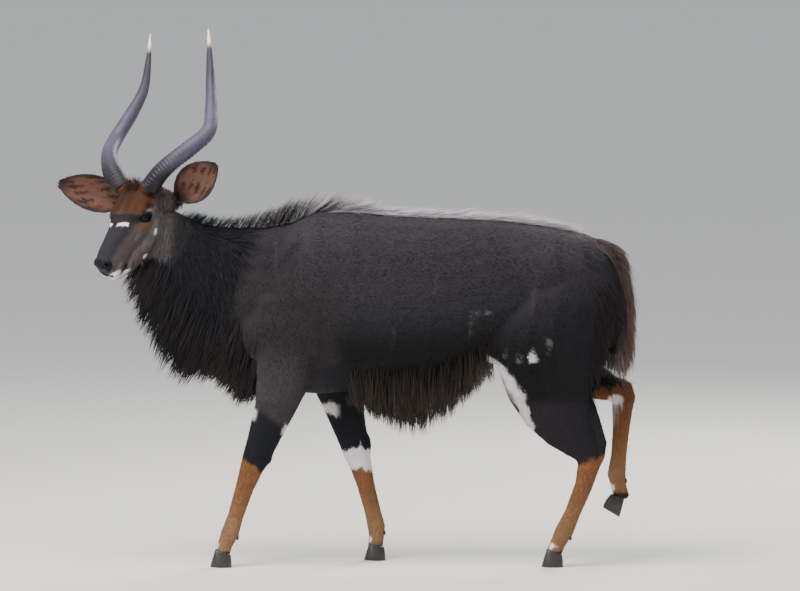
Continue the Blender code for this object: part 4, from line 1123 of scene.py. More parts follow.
def ear_tone(colour, on, cup, across, up):
    """Pinkish brown cups with dark blotches and a dark rim, and dark backs."""
    warm = np.sin(across * 4 + up * 9) * np.sin(up * 11 - across * 3 + 1)
    warm = 0.5 * soft(warm, 0.1, 0.7) * soft(up, 0.1, 0.3)
    inner = over(paint("#6b4e42"), paint("#6c4536"), warm)
    dark = np.sin(across * 9 + up * 6) * np.sin(up * 19 + across * 5 + 2)
    dark += 0.3 * np.sin(across * 31 + up * 7)
    inner = over(inner, paint("#2b1d1c"), 0.8 * soft(dark, 0.20, 0.65) * soft(up, 0.10, 0.30))
    inner = over(inner, paint("#46302a"), fading(up, 0.10, 0.35) * 0.8)
    rim = np.maximum(soft(np.abs(across) + 0.08 * dark, 0.50, 1.00), soft(up, 0.78, 0.98))
    inner = over(inner, paint("#2e2325"), rim * 0.9)
    outer = over(paint("#3a3134"), paint("#1f1a1e"), soft(up, 0.7, 0.95))
    outer = over(outer, paint("#575050"), fading(up, 0.05, 0.35))
    pale = soft(np.abs(across), 0.93, 0.99) * fading(up, 0.80, 0.95)
    outer = over(outer, paint("#7d7370"), pale * 0.7)
    return over(colour, np.where(cup.reshape(-1, 1) > 0.5, inner, outer), on)


def coat_colour(points, normals):
    """The colour of the coat at each place, linear, before the hair's own variation."""
    x, y, z = points.T
    tail = soft(x, 0.578, 0.588) * (np.abs(y) < 0.060) * soft(z, 0.50, 0.56)
    colour = body_tone(points, normals)
    raised = (x > 0.40) & (y > 0.03)
    low = fading(z, 0.50, 0.545)
    low = np.where(raised, fading(z + 0.25 * (0.60 - x), 0.555, 0.60), low)
    band = colour.mean(axis=1) > 0.35
    low = np.where(band & (x > 0.15) & (z > 0.37), 0, low)
    low = np.where((np.abs(y) < 0.062) & (z > 0.485) & (x < 0.20), 0, low)
    colour = over(colour, leg_tone(points, normals), low)
    colour = over(colour, paint("#3a343a"), tail * 0.9)
    colour = over(colour, paint("#664846"), tail * soft(x, 0.596, 0.612) * fading(z, 0.88, 0.98) * 0.8)
    pale = fading(x, 0.592, 0.600) * soft(z, 0.66, 0.72) * fading(z, 0.80, 0.86)
    colour = over(colour, paint("#a5a0a2"), tail * pale)
    colour = over(colour, face_tone(points), head_share(points))
    return ear_tone(colour, *ear_share(points, normals))


def painted(mesh, colours):
    """Stores the colours on the mesh's points under the name that the materials read."""
    layer = mesh.color_attributes.new("coat", "FLOAT_COLOR", "POINT")
    full = np.ones((len(colours), 4), np.float32)
    full[:, :3] = np.clip(colours, 0, 1)
    layer.data.foreach_set("color", full.ravel())


painted(skin.data, coat_colour(skin_points, skin_normals))
wet = skin.data.attributes.new("wet", "FLOAT", "POINT")
wet.data.foreach_set("value", nose_share(skin_points).astype(np.float32))

# Skin with its under coat: dull and dark between the tufts, with a fine grain of lying hair
# about 2 mm apart, and moist pebbled skin on the nose pad.
hide, tree, shader = finish_named("hide_with_under_coat", Specular_IOR_Level=0.10)
tone = node(tree, "ShaderNodeVertexColor", {"layer_name": "coat"})
place = node(tree, "ShaderNodeTexCoord")
grain = node(tree, "ShaderNodeTexNoise", Vector=(place, "Object"), Scale=420.0, Detail=3.0)
patchy = node(tree, "ShaderNodeTexNoise", Vector=(place, "Object"), Scale=26.0, Detail=2.0)
shade = node(tree, "ShaderNodeMapRange", Value=(grain, "Fac"), To_Min=0.88, To_Max=1.22)
wide = node(tree, "ShaderNodeMapRange", Value=(patchy, "Fac"), To_Min=0.86, To_Max=1.14)
both = node(tree, "ShaderNodeMath", {"operation": "MULTIPLY"}, _0=(shade, 0), _1=(wide, 0))
mixed = node(tree, "ShaderNodeVectorMath", {"operation": "SCALE"}, _0=(tone, "Color"), Scale=(both, 0))
tree.links.new(mixed.outputs[0], shader.inputs["Base Color"])
moist = node(tree, "ShaderNodeAttribute", {"attribute_name": "wet"})
gloss = node(tree, "ShaderNodeMapRange", Value=(moist, "Fac"), To_Min=0.82, To_Max=0.30)
tree.links.new(gloss.outputs[0], shader.inputs["Roughness"])
pebble = node(tree, "ShaderNodeTexVoronoi", Vector=(place, "Object"), Scale=520.0)
relief = node(tree, "ShaderNodeMix", Factor=(moist, "Fac"), A=(grain, "Fac"), B=(pebble, "Distance"))
bump = node(tree, "ShaderNodeBump", Strength=0.35, Distance=0.0012, Height=(relief, 0))
tree.links.new(bump.outputs[0], shader.inputs["Normal"])
skin.data.materials.clear()
skin.data.materials.append(hide)
skin.data.polygons.foreach_set("material_index", np.zeros(len(skin.data.polygons), np.int32))

# The short coat
# Close, slightly oily hair that lies back along the trunk, down the legs and up the face, made
# as thin closed tufts of a few dozen hairs each, rooted just under the skin.
PATCH = 0.003
CLOSE = ((0.36, 1.0),)


def hairs(name, starts, bends, ends, ups, widths, thick, profile, tones, patches, softness):
    """Many closed tapered tufts as one mesh. Each bends from its start towards its end.

    thick is a tuft's height as a share of its width. profile lists the rings between root and tip
    as (share of the length, share of the width), tones holds the colours at the root and at the
    tip, and patches the place of each tuft on the unwrap, where it takes a square of side PATCH.
    softness turns the shading of each tuft towards the skin's, as light scattered among many hairs
    does: 0 is the tuft's own, 1 the skin's.
    """
    count, rings = len(starts), len(profile)
    each = 3 * rings + 2
    points = np.empty((count, each, 3), np.float32)
    local = np.zeros((each, 2))
    shares = np.empty(each)
    points[:, 0], points[:, -1] = starts, ends
    shares[0], shares[-1] = 0, 1
    for ring, (share, broad) in enumerate(profile):
        place = (1 - share) ** 2 * starts + 2 * share * (1 - share) * bends + share**2 * ends
        run = (1 - share) * (bends - starts) + share * (ends - bends)
        run /= np.linalg.norm(run, axis=1, keepdims=True) + 1e-9
        across = np.cross(run, ups)
        across /= np.linalg.norm(across, axis=1, keepdims=True) + 1e-9
        out = np.cross(across, run)
        half = (widths * broad / 2).reshape(-1, 1)
        high = (widths * broad * thick).reshape(-1, 1)
        at = 1 + 3 * ring
        points[:, at] = place - across * half
        points[:, at + 1] = place + out * high
        points[:, at + 2] = place + across * half
        local[at : at + 3, 0] = (-0.5, 0, 0.5)
        shares[at : at + 3] = share
    local[:, 1] = shares - 0.5
    faces = [(0, 2, 1), (0, 3, 2), (0, 1, 3)]
    for ring in range(rings - 1):
        low, high = 1 + 3 * ring, 4 + 3 * ring
        for first, second in ((0, 1), (1, 2), (2, 0)):
            faces.append((low + first, low + second, high + second))
            faces.append((low + first, high + second, high + first))
    last = each - 4
    faces += [(each - 1, last, last + 1), (each - 1, last + 1, last + 2), (each - 1, last + 2, last)]
    faces = np.array(faces)
    index = (faces[None] + (np.arange(count) * each)[:, None, None]).reshape(-1, 3)
    mesh = bpy.data.meshes.new(name)
    mesh.vertices.add(count * each)
    mesh.vertices.foreach_set("co", points.ravel())
    mesh.loops.add(index.size)
    mesh.loops.foreach_set("vertex_index", index.ravel().astype(np.int32))
    mesh.polygons.add(len(index))
    mesh.polygons.foreach_set("loop_start", np.arange(0, index.size, 3, dtype=np.int32))
    mesh.update(calc_edges=True)
    mesh.shade_smooth()
    shading = column(mesh, "normal") * (1 - softness) + np.repeat(ups, each, axis=0) * softness
    mesh.normals_split_custom_set_from_vertices(shading.tolist())
    spread = patches[:, None, :] + local[None] * PATCH
    layer = mesh.uv_layers.new(name="OFBake")
    layer.data.foreach_set("uv", spread.reshape(-1, 2)[index.ravel()].astype(np.float32).ravel())
    fade = shares.reshape(1, -1, 1)
    painted(mesh, (tones[0][:, None] * (1 - fade) + tones[1][:, None] * fade).reshape(-1, 3))
    return object_from(name, mesh)


def roots_on_skin(weight, count, seed):
    """Random places on the skin: point, normal and place on the unwrap."""
    chance = np.random.default_rng(seed)
    odds = area * weight
    picked = chance.choice(len(odds), count, p=odds / odds.sum())
    first, second = chance.random(count), chance.random(count)
    over_half = first + second > 1
    first, second = np.where(over_half, 1 - first, first), np.where(over_half, 1 - second, second)
    shares = np.stack([1 - first - second, first, second], 1)
    spots = np.einsum("nc,ncx->nx", shares, skin_points[corners[picked]])
    normals = np.einsum("nc,ncx->nx", shares, skin_normals[corners[picked]])
    normals /= np.linalg.norm(normals, axis=1, keepdims=True) + 1e-9
    return spots, normals, np.einsum("nc,ncx->nx", shares, unwrap[picked])


def lie_of_coat(points, normals):
    """The way the hair points at each place, along the skin."""
    x, y, z = points.T
    one, none = np.ones_like(x), np.zeros_like(x)
    run = np.stack([one, none, -0.18 - 0.55 * fading(z, 0.62, 1.02)], 1)

    def turned(run, aim, share):
        share = np.asarray(share).reshape(-1, 1)
        return run * (1 - share) + np.array(aim) * share

    run = turned(run, (0.42, 0, -0.90), fading(x, -0.44, -0.26) * fading(z, 0.94, 1.04))
    run = turned(run, (0.45, 0, -0.90), soft(x, 0.30, 0.50) * fading(z, 0.90, 1.04))
    run = turned(run, (0.30, 0, -0.95), fading(x, -0.66, -0.56))
    run = turned(run, (0.95, 0, -0.10), fading(x, -0.60, -0.50) * soft(normals[:, 2], 0.5, 0.85))
    run = turned(run, (0.02, 0, -1.0), fading(z, 0.50, 0.62))
    tail = soft(x, 0.575, 0.590) * (np.abs(y) < 0.06) * soft(z, 0.50, 0.56)
    run = turned(run, (0.25, 0, -1.0), tail)
    head = head_share(points).reshape(-1, 1)
    place = in_head(points)
    aim = np.stack([-one, none, -0.10 - 0.9 * fading(place[:, 2], -0.13, -0.05)], 1)
    run = run * (1 - head) + (aim @ np.array(HEAD.to_3x3()).T) * head
    on, cup, across, up = ear_share(points, normals)
    for side in (1, -1):
        axis = np.array(HEAD.to_3x3() @ EAR_AXIS[side].normalized())
        here = (on * (np.sign(place[:, 1]) == side)).reshape(-1, 1)
        run = run * (1 - here) + axis * here
    run -= normals * (run * normals).sum(1, keepdims=True)
    return run / (np.linalg.norm(run, axis=1, keepdims=True) + 1e-9)


def varied(tones, chance, spread):
    """The same colours, each tuft a little lighter or darker."""
    return tones * np.exp(chance.normal(0, spread, (len(tones), 1)))


def coat_piece(name, weight, count, length, width, lift, seed, slot, wild=0.07, spread=0.13):
    """One piece of short coat where weight is above 0. length is (shortest, longest).

    lift is how far the tufts stand off the skin as a share of their length, wild how much they
    stray sideways, and spread how much their tones differ.
    """
    chance = np.random.default_rng(seed + 100)
    spots, normals, patches = roots_on_skin(weight, count, seed)
    run = lie_of_coat(spots, normals)
    side = np.cross(run, normals)
    run = run + side * chance.normal(0, wild, (count, 1))
    run /= np.linalg.norm(run, axis=1, keepdims=True)
    reach = chance.uniform(*length, (count, 1))
    rise = reach * lift * chance.uniform(0.6, 1.4, (count, 1))
    starts = spots - normals * 0.0012
    bends = spots + run * reach * 0.5 + normals * rise * 1.5
    ends = spots + run * reach + normals * rise * chance.uniform(0.3, 1.2, (count, 1))
    widths = width * chance.uniform(0.7, 1.3, count)
    tones = varied(coat_colour(spots + run * reach * 0.45, normals), chance, spread)
    made = hairs(
        name, starts, bends, ends, normals, widths,
        thick=0.12, profile=CLOSE, tones=(tones * 0.95, tones * 1.05), patches=patches, softness=0.45,
    )
    made.data.materials.append(hair_finish)
    return settled(made, slot)


# Hair: a dull sheath with a soft shine along its length, darker at the root, and a little
# paler where the tuft thins out.
hair_finish, tree, shader = finish_named("coat_hair", Roughness=0.55, Specular_IOR_Level=0.11)
tone = node(tree, "ShaderNodeVertexColor", {"layer_name": "coat"})
place = node(tree, "ShaderNodeTexCoord")
streak = node(tree, "ShaderNodeTexNoise", Vector=(place, "Object"), Scale=900.0, Detail=1.0)
shade = node(tree, "ShaderNodeMapRange", Value=(streak, "Fac"), To_Min=0.78, To_Max=1.22)
mixed = node(tree, "ShaderNodeVectorMath", {"operation": "SCALE"}, _0=(tone, "Color"), Scale=(shade, 0))
tree.links.new(mixed.outputs[0], shader.inputs["Base Color"])

middles = edges_of.mean(axis=1)
facing = skin_normals[corners].mean(axis=1)
facing /= np.linalg.norm(facing, axis=1, keepdims=True) + 1e-9
mx, my, mz = middles.T
on_head = head_share(middles)
on_ear = ear_share(middles, facing)[0]
off_head = (1 - on_head) * (1 - on_ear)
on_leg = fading(np.where((mx > 0.40) & (my > 0.03), mz - 0.06, mz), 0.50, 0.54)
on_neck = mane_share(middles) * off_head
on_tail = soft(mx, 0.575, 0.585) * (np.abs(my) < 0.06) * (mz > 0.5)
on_trunk = off_head * (1 - on_leg) * (1 - on_neck) * (1 - on_tail)
hooves = fading(mz, 0.036, 0.042)
under_foot = np.where((mx > 0.55) & (my > 0.03), fading(mz, 0.19, 0.196), hooves)

for side, name, fore_seed, hind_seed in ((left, "left", 13, 10), (right, "right", 15, 12)):
    flank = on_trunk * (my * side > 0)
    for half, label, seed in ((mx < 0, "fore", fore_seed), (mx >= 0, "hind", hind_seed)):
        coat_piece(
            f"coat_{label}_{name}", flank * half, 18500,
            length=(0.012, 0.020), width=0.0030, lift=0.030, seed=seed, slot="body_coat",
        )
for half, label, seed in ((mx < 0.1, "fore", 20), (mx >= 0.1, "hind", 21)):
    coat_piece(
        f"coat_legs_{label}", on_leg * half * (1 - under_foot), 13000,
        length=(0.007, 0.012), width=0.0022, lift=0.10, seed=seed, slot="leg_coat",
    )
coat_piece(
    "coat_face", on_head * (1 - nose_share(middles)), 20000,
    length=(0.0045, 0.0085), width=0.0013, lift=0.11, seed=30, slot="head_coat", wild=0.14, spread=0.20,
)
coat_piece(
    "coat_ears", on_ear, 7000,
    length=(0.006, 0.011), width=0.0014, lift=0.08, seed=31, slot="ear_skin", wild=0.14,
)

# The mane, fringes and tail
# Long coarse hair hangs under the throat, chest and belly, down the neck, along the back edge
# of the thighs and round the tail, and stands along the spine. It is laid on in wisps whose
# hairs draw together towards a shared tip.
skin_tree = BVHTree.FromPolygons([Vector(point) for point in skin_points], corners.tolist())
LONG = ((0.10, 0.75), (0.42, 1.0), (0.76, 0.62))
SHORT = ((0.22, 1.0), (0.66, 0.70))


def along(points, share):
    """A smooth run through the points: the place at a share of it from 0 to 1."""
    spans = len(points) - 1
    index = min(int(share * spans), spans - 1)
    step = share * spans - index
    ends = [points[min(max(index + shift, 0), spans)] for shift in (-1, 0, 1, 2)]
    first, second, third, fourth = (Vector(point) for point in ends)
    return 0.5 * (
        second * 2
        + (third - first) * step
        + (first * 2 - second * 5 + third * 4 - fourth) * step**2
        + (second * 3 - first - third * 3 + fourth) * step**3
    )


def on_skin(near):
    """The nearest place on the skin to each point, its normal and its place on the unwrap."""
    spots, normals, patches = np.empty_like(near), np.empty_like(near), np.empty((len(near), 2))
    for index, point in enumerate(near):
        spot, normal, face, _ = skin_tree.find_nearest(Vector(point))
        spots[index], normals[index] = spot, normal
        patches[index] = unwrap[face].mean(axis=0)
    return spots, normals, patches


def wisps(
    name, roots, tips, spread, hairs_each, width, seed, slot, tip_tone, tone_share, bulge,
    gather=0.55, streaky=0.0,
):
    """Long hair in wisps. roots and tips hold one place for each wisp.

    spread is how far a wisp's hairs stand apart at the root, gather how much closer they come at
    the tip, and bulge how far they bow outwards. The tips take tip_tone by tone_share, in streaks
    along the body by streaky.
    """
    chance = np.random.default_rng(seed)
    tips = tips + chance.normal(0, 2.0, tips.shape) * spread * gather
    lighter = np.repeat(np.exp(chance.normal(0, 0.14, (len(roots), 1))), hairs_each, axis=0)
    count = len(roots) * hairs_each
    near = np.repeat(roots, hairs_each, axis=0) + chance.normal(0, 1, (count, 3)) * spread
    spots, normals, patches = on_skin(near)
    u, v, w = in_head(spots).T
    far_off = (head_share(spots) < 0.5) & (np.linalg.norm([u, v, w + 0.07], axis=0) > 0.200)
    kept = far_off | (w < jaw_low(u) - 0.012) | (slot == "head_coat")
    near, spots, normals, patches = near[kept], spots[kept], normals[kept], patches[kept]
    count = len(spots)
    roots = np.repeat(roots, hairs_each, axis=0)[kept]
    aims = np.repeat(tips, hairs_each, axis=0)[kept]
    drift = (spots - roots) * (1 - gather)
    share = chance.uniform(0.74, 1.03, (count, 1))
    ends = spots + (aims + drift - spots) * share + chance.normal(0, 0.0035, (count, 3))
    reach = np.linalg.norm(ends - spots, axis=1, keepdims=True)
    starts = spots - normals * 0.002
    sag = chance.uniform(0.5, 1.3, (count, 1)) * bulge
    bends = spots + (ends - spots) * 0.42 + normals * reach * sag * 0.5
    bends += chance.normal(0, 0.05, (count, 3)) * reach
    widths = width * chance.uniform(0.6, 1.3, count)
    tones = coat_colour(spots, normals)
    if slot != "head_coat":
        tones = over(tones, BLACK, head_share(spots) * soft(u[kept], 0.05, 0.11))
    tones = varied(tones, chance, 0.16) * lighter[kept]
    run = np.sin(95 * spots[:, 0]) + 0.6 * np.sin(233 * spots[:, 0] + 1)
    share = tone_share * (chance.uniform(0.3, 1.1, count) + streaky * run).clip(0, 1)
    if slot == "neck_coat":
        to_jaw = np.linalg.norm([u[kept], v[kept], w[kept] + 0.07], axis=0)
        share *= soft(to_jaw, 0.10, 0.24)
    pale = over(tones, tip_tone, share)
    made = hairs(
        name, starts, bends, ends, normals, widths,
        thick=0.2, profile=LONG, tones=(tones * 0.8, pale), patches=patches, softness=0.12,
    )
    made.data.materials.append(hair_finish)
    return settled(made, slot)


def hanging(roots, tips, shares, levels, side_step, rise, shorten):
    """Places for rows of wisps on both sides of a fringe, higher and shorter outwards."""
    starts, ends = [], []
    for level in range(levels):
        part = level / max(levels - 1, 1)
        for side in (left, right):
            for index in range(shares):
                share = (index + 0.25 + 0.5 * ((level + (side > 0)) % 2)) / shares
                root, tip = along(roots, min(share, 1)), along(tips, min(share, 1))
                out = Vector((0, side * side_step * (0.25 + part), 0))
                starts.append(root + out + Vector(rise) * part)
                ends.append(tip.lerp(root, shorten * part) + out * 0.75)
    return np.array(starts), np.array(ends)


throat = hanging(THROAT_ROOTS, THROAT_TIPS, 42, 6, 0.060, (0.030, 0, 0.110), 0.62)
wisps(
    "throat_fringe", *throat, spread=0.0075, hairs_each=13, width=0.0030, seed=40,
    slot="neck_coat", tip_tone=paint("#2c2422"), tone_share=0.55, bulge=0.18,
)
belly = hanging(BELLY_ROOTS, BELLY_TIPS, 34, 5, 0.066, (0, 0, 0.070), 0.50)
wisps(
    "belly_fringe", *belly, spread=0.0085, hairs_each=14, width=0.0028, seed=41,
    slot="body_coat", tip_tone=paint("#4a3e35"), tone_share=0.75, bulge=0.12,
)


def crest_wisps(count, start, end, reach, lean):
    """Wisps along the spine that lean back over one another."""
    roots, tips = [], []
    for index in range(count):
        share = start + (end - start) * (index + 0.5) / count
        root, tip = along(CREST_ROOTS, share), along(CREST_TIPS, share)
        sway = Vector((0, 0.012 * math.sin(index * 2.4 + 1.7 * math.sin(index * 0.37)), 0))
        roots.append(root + sway + Vector((0, 0, 0.02)))
        tips.append(root.lerp(tip, reach) + sway * lean)
    return np.array(roots), np.array(tips)


withers_roots, withers_tips = crest_wisps(60, 0.33, 0.60, 1.0, 1.6)
withers_tips += np.array((-0.016, 0, 0.014))
wisps(
    "withers_crest", withers_roots, withers_tips, spread=0.0120, hairs_each=13, width=0.0018, seed=44,
    slot="body_coat", tip_tone=paint("#b3adb2"), tone_share=0.9, bulge=0.05, gather=0.40, streaky=0.7,
)
nape_roots, nape_tips = crest_wisps(120, 0.0, 0.42, 1.0, 1.4)
nape_tips += np.array((-0.022, 0, 0.006))
wisps(
    "nape_crest", nape_roots, nape_tips, spread=0.0095, hairs_each=12, width=0.0018, seed=42,
    slot="neck_coat", tip_tone=paint("#2a272c"), tone_share=0.6, bulge=0.05, gather=0.10,
)
spine = crest_wisps(110, 0.44, 1.0, 0.98, 1.8)
wisps(
    "spine_crest", *spine, spread=0.0100, hairs_each=13, width=0.0019, seed=43,
    slot="body_coat", tip_tone=paint("#ddd6da"), tone_share=1.3, bulge=0.05, gather=0.35, streaky=0.5,
)


def mane_piece(name, weight, count, length, width, seed, slot, tip_tone, aim=None):
    """Long hair that lies along the neck, thighs or tail and hangs at its ends."""
    bushy = slot == "tail_hair"
    chance = np.random.default_rng(seed)
    spots, normals, patches = roots_on_skin(weight, count, seed)
    run = lie_of_coat(spots, normals)
    if aim:
        run = np.array(aim) - normals * (normals @ np.array(aim)).reshape(-1, 1)
    run = run + chance.normal(0, 0.10, (count, 3))
    reach = chance.uniform(*length, (count, 1))
    if slot == "neck_coat":
        to_head = np.linalg.norm(in_head(spots) - np.array((-0.02, 0.03, -0.07)), axis=1)
        reach *= (0.30 + 0.70 * soft(to_head, 0.11, 0.24)).reshape(-1, 1)
    if bushy:
        z = spots[:, 2]
        reach *= (0.80 + 0.25 * soft(z, 0.64, 0.72) - 0.40 * soft(z, 0.90, 0.99)).reshape(-1, 1)
    ends = spots + run * reach + normals * reach * 0.05
    landed = on_skin(ends)
    lifted = landed[0] + landed[1] * chance.uniform(0.002, 0.010, (count, 1))
    hang = np.array((0, 0, -1.0)) * reach * (0.45 if bushy else 0.06)
    inside = ((ends - landed[0]) * landed[1]).sum(1, keepdims=True) < 0.004
    ends = np.where(inside, lifted, ends) + hang
    full = (0.16, 0.34) if bushy else (0.06, 0.16)
    bends = spots + (ends - spots) * 0.5 + normals * reach * chance.uniform(*full, (count, 1))
    widths = width * chance.uniform(0.6, 1.3, count)
    tones = coat_colour(spots, normals)
    if slot == "head_coat":
        tones = np.minimum(tones, 0.11)
    tones = varied(tones, chance, 0.22)
    pale = over(tones, tip_tone, chance.uniform(0.2, 0.7, count))
    made = hairs(
        name, spots - normals * 0.002, bends, ends, normals, widths,
        thick=0.18, profile=SHORT, tones=(tones * 0.85, pale), patches=patches, softness=0.25,
    )
    made.data.materials.append(hair_finish)
    return settled(made, slot)


nape_side = on_neck * (1 - fading(mx, -0.90, -0.86) * 0.5)
for side, name in ((left, "left"), (right, "right")):
    mane_piece(
        f"mane_{name}", nape_side * (my * side > -0.004), 8200, length=(0.035, 0.070),
        width=0.0026, seed=50 + side, slot="neck_coat", tip_tone=paint("#27262c"),
    )
saddle = soft(mx, -0.36, -0.22) * fading(mx, 0.36, 0.44) * (np.abs(my) < 0.036)
saddle = saddle * (facing[:, 2] > 0.4) * (mz > 0.9)
mane_piece(
    "spine_saddle", saddle, 3600, length=(0.030, 0.055),
    width=0.0022, seed=62, slot="body_coat", tip_tone=paint("#e3dce0"),
)
u, v, w = in_head(middles).T
near_head = behind_cheek(in_head(middles))
ruff = soft(near_head, 0.040, 0.066) * fading(near_head, 0.125, 0.150)
ruff = ruff + fading(u, -0.06, -0.035) * on_head
seat = np.linalg.norm([(u + 0.034) / 0.045, (np.abs(v) - 0.058) / 0.045, (w + 0.080) / 0.062], axis=0)
ruff = np.maximum(ruff, 1.3 * fading(seat, 0.8, 1.2))
ruff *= (np.linalg.norm([u, v, w + 0.05], axis=0) < 0.20) * (1 - on_ear) * (mz > 0.8)
mane_piece(
    "cheek_ruff", ruff.clip(0, 1.3), 6600, length=(0.022, 0.042), width=0.0018, seed=63,
    slot="head_coat", tip_tone=paint("#57504b"), aim=(-0.10, 0, -1.0),
)
crown = [(u, v) for u in (-0.012, 0.002, 0.016) for v in (-0.018, -0.009, 0, 0.009, 0.018)]
crown_roots = np.array([HEAD @ Vector((u, v, 0.012)) for u, v in crown])
crown_tips = np.array([HEAD @ Vector((u - 0.020, v * 1.1, 0.036)) for u, v in crown])
wisps(
    "crown_tuft", crown_roots, crown_tips, spread=0.0050, hairs_each=16, width=0.0014, seed=45,
    slot="head_coat", tip_tone=paint("#3a241b"), tone_share=0.7, bulge=0.10, gather=0.30,
)
rear_edge = soft(mx, 0.49, 0.56) * (mz > 0.50) * (mz < 0.90) * off_head * (1 - on_tail) * (1 - on_leg)
mane_piece(
    "thigh_fringe", rear_edge, 4600, length=(0.035, 0.070),
    width=0.0026, seed=60, slot="body_coat", tip_tone=paint("#2f2629"),
)
croup = soft(mx, 0.46, 0.52) * (np.abs(my) < 0.060) * (mz > 0.93) * (1 - on_tail)
tail_long = np.maximum(on_tail, croup * 0.8)
mane_piece(
    "tail_brush", tail_long, 7000, length=(0.050, 0.100),
    width=0.0028, seed=61, slot="tail_hair", tip_tone=paint("#8a6f66"),
)
across_tail = [(share, side) for share in np.linspace(0, 1, 12) for side in (left, 0, right)]
shares, sides = np.array(across_tail).T
end_roots = np.stack([0.564 + 0.034 * shares, 0.012 * sides, 0.690 + 0.030 * shares], 1)
end_tips = np.stack([0.538 + 0.082 * shares, 0.020 * sides, 0.580 + 0.052 * shares], 1)
wisps(
    "tail_end", end_roots, end_tips, spread=0.0110, hairs_each=18, width=0.0024, seed=46,
    slot="tail_hair", tip_tone=paint("#3a2f2e"), tone_share=0.7, bulge=0.15,
)

# The horns
# Two open spirals of keratin over a bone core. A keel winds once up each, growth rings stand out
# near the base and fade, and the last few centimetres are worn to pale ivory.
HORN_LINE = (
    (-0.008, 0.052, -0.004),
    (-0.040, 0.086, 0.018),
    (-0.080, 0.122, 0.028),
    (-0.150, 0.166, 0.024),
    (-0.228, 0.186, 0.010),
    (-0.310, 0.163, 0.024),
    (-0.392, 0.136, 0.050),
    (-0.466, 0.125, 0.096),
    (-0.537, 0.118, 0.150),
)
HORN_TWIST = math.radians(300)
HORN_RADII = (0.030, 0.0285, 0.0268, 0.0245, 0.0225, 0.0195, 0.0150, 0.0095, 0.0015)
HORN_RINGS, HORN_SIDES = 270, 36


def horn_bumps(share, side, angle):
    """How far the sheath stands out from a round horn, as a share of its radius."""
    keel = 0.15 * max(0, math.cos(angle - side * HORN_TWIST * share)) ** 6
    back_keel = 0.05 * max(0, math.cos(angle - side * HORN_TWIST * share - 2.6)) ** 8
    low = max(0.0, min(1.0, (0.66 - share) / 0.34))
    wave = math.sin(share * 290 + 0.9 * math.sin(angle + share * 30) + 1.7 * math.sin(share * 21))
    rings = 0.046 * low * (0.35 + 0.65 * max(0, math.cos(angle - side * HORN_TWIST * share))) * wave
    grain = 0.006 * math.sin(angle * 9 + 5 * math.sin(share * 12))
    return 1 + keel + back_keel + rings + grain


def horn(name, replaced, side):
    line = [(u, side * v, w) for u, v, w in HORN_LINE]
    sections, shares = [], []
    front = Vector((0.3, side * 0.2, 1.0))
    for index in range(HORN_RINGS):
        share = index / (HORN_RINGS - 1)
        middle = along(line, share)
        run = (along(line, min(share + 0.02, 1)) - along(line, max(share - 0.02, 0))).normalized()
        front = (front - run * front.dot(run)).normalized()
        other = run.cross(front)
        radius = float(np.interp(share, np.linspace(0, 1, len(HORN_RADII)), HORN_RADII))
        ring = []
        for step in range(HORN_SIDES):
            angle = math.tau * step / HORN_SIDES
            out = front * math.cos(angle) + other * math.sin(angle)
            ring.append(middle + out * radius * horn_bumps(share, side, angle))
        sections.append(ring)
        shares += [share] * HORN_SIDES
    made = loft(name, sections, pointed=True)
    made.data.transform(HEAD)
    made.data.shade_smooth()
    shares = np.array(shares[: len(made.data.vertices) - 1] + [1.0])
    # Darker towards the base: partly the horn's own tone, partly painted shade. The bluish grey of the
    # middle is partly a painted reflection of the sky. The ivory tip is the horn's own.
    colour = over(paint("#4d495a"), paint("#1b181b"), fading(shares, 0.10, 0.44) * 0.95)
    colour = over(colour, paint("#2f2b32"), soft(shares, 0.55, 0.85) * 0.7)
    colour = over(colour, paint("#efe3c6"), soft(shares, 0.905, 0.945))
    painted(made.data, colour)
    made.data.materials.append(sheath)
    return settled(made, "horn_sheath", replaced)


# Horn sheath: keratin grown in thin layers, satin, with fine streaks along it. Its colour is
# darker near the base, partly its own and partly painted shade, and bluish along the middle,
# partly a painted reflection of the sky.
sheath, tree, shader = finish_named("keratin_sheath", Roughness=0.48, Specular_IOR_Level=0.22)
shader.inputs["IOR"].default_value = 1.54
tone = node(tree, "ShaderNodeVertexColor", {"layer_name": "coat"})
place = node(tree, "ShaderNodeTexCoord")
stretch = node(tree, "ShaderNodeMapping", Vector=(place, "Object"), Scale=(260.0, 260.0, 60.0))
streak = node(tree, "ShaderNodeTexNoise", Vector=(stretch, 0), Scale=1.0, Detail=4.0)
cloud = node(tree, "ShaderNodeTexNoise", Vector=(place, "Object"), Scale=34.0, Detail=3.0)
shade = node(tree, "ShaderNodeMapRange", Value=(streak, "Fac"), To_Min=0.62, To_Max=1.38)
wide = node(tree, "ShaderNodeMapRange", Value=(cloud, "Fac"), To_Min=0.75, To_Max=1.25)
both = node(tree, "ShaderNodeMath", {"operation": "MULTIPLY"}, _0=(shade, 0), _1=(wide, 0))
mixed = node(tree, "ShaderNodeVectorMath", {"operation": "SCALE"}, _0=(tone, "Color"), Scale=(both, 0))
tree.links.new(mixed.outputs[0], shader.inputs["Base Color"])
bump = node(tree, "ShaderNodeBump", Strength=0.5, Distance=0.0006, Height=(streak, "Fac"))
tree.links.new(bump.outputs[0], shader.inputs["Normal"])

horn("sheath_left", "horn_left", 1)
horn("sheath_right", "horn_right", -1)

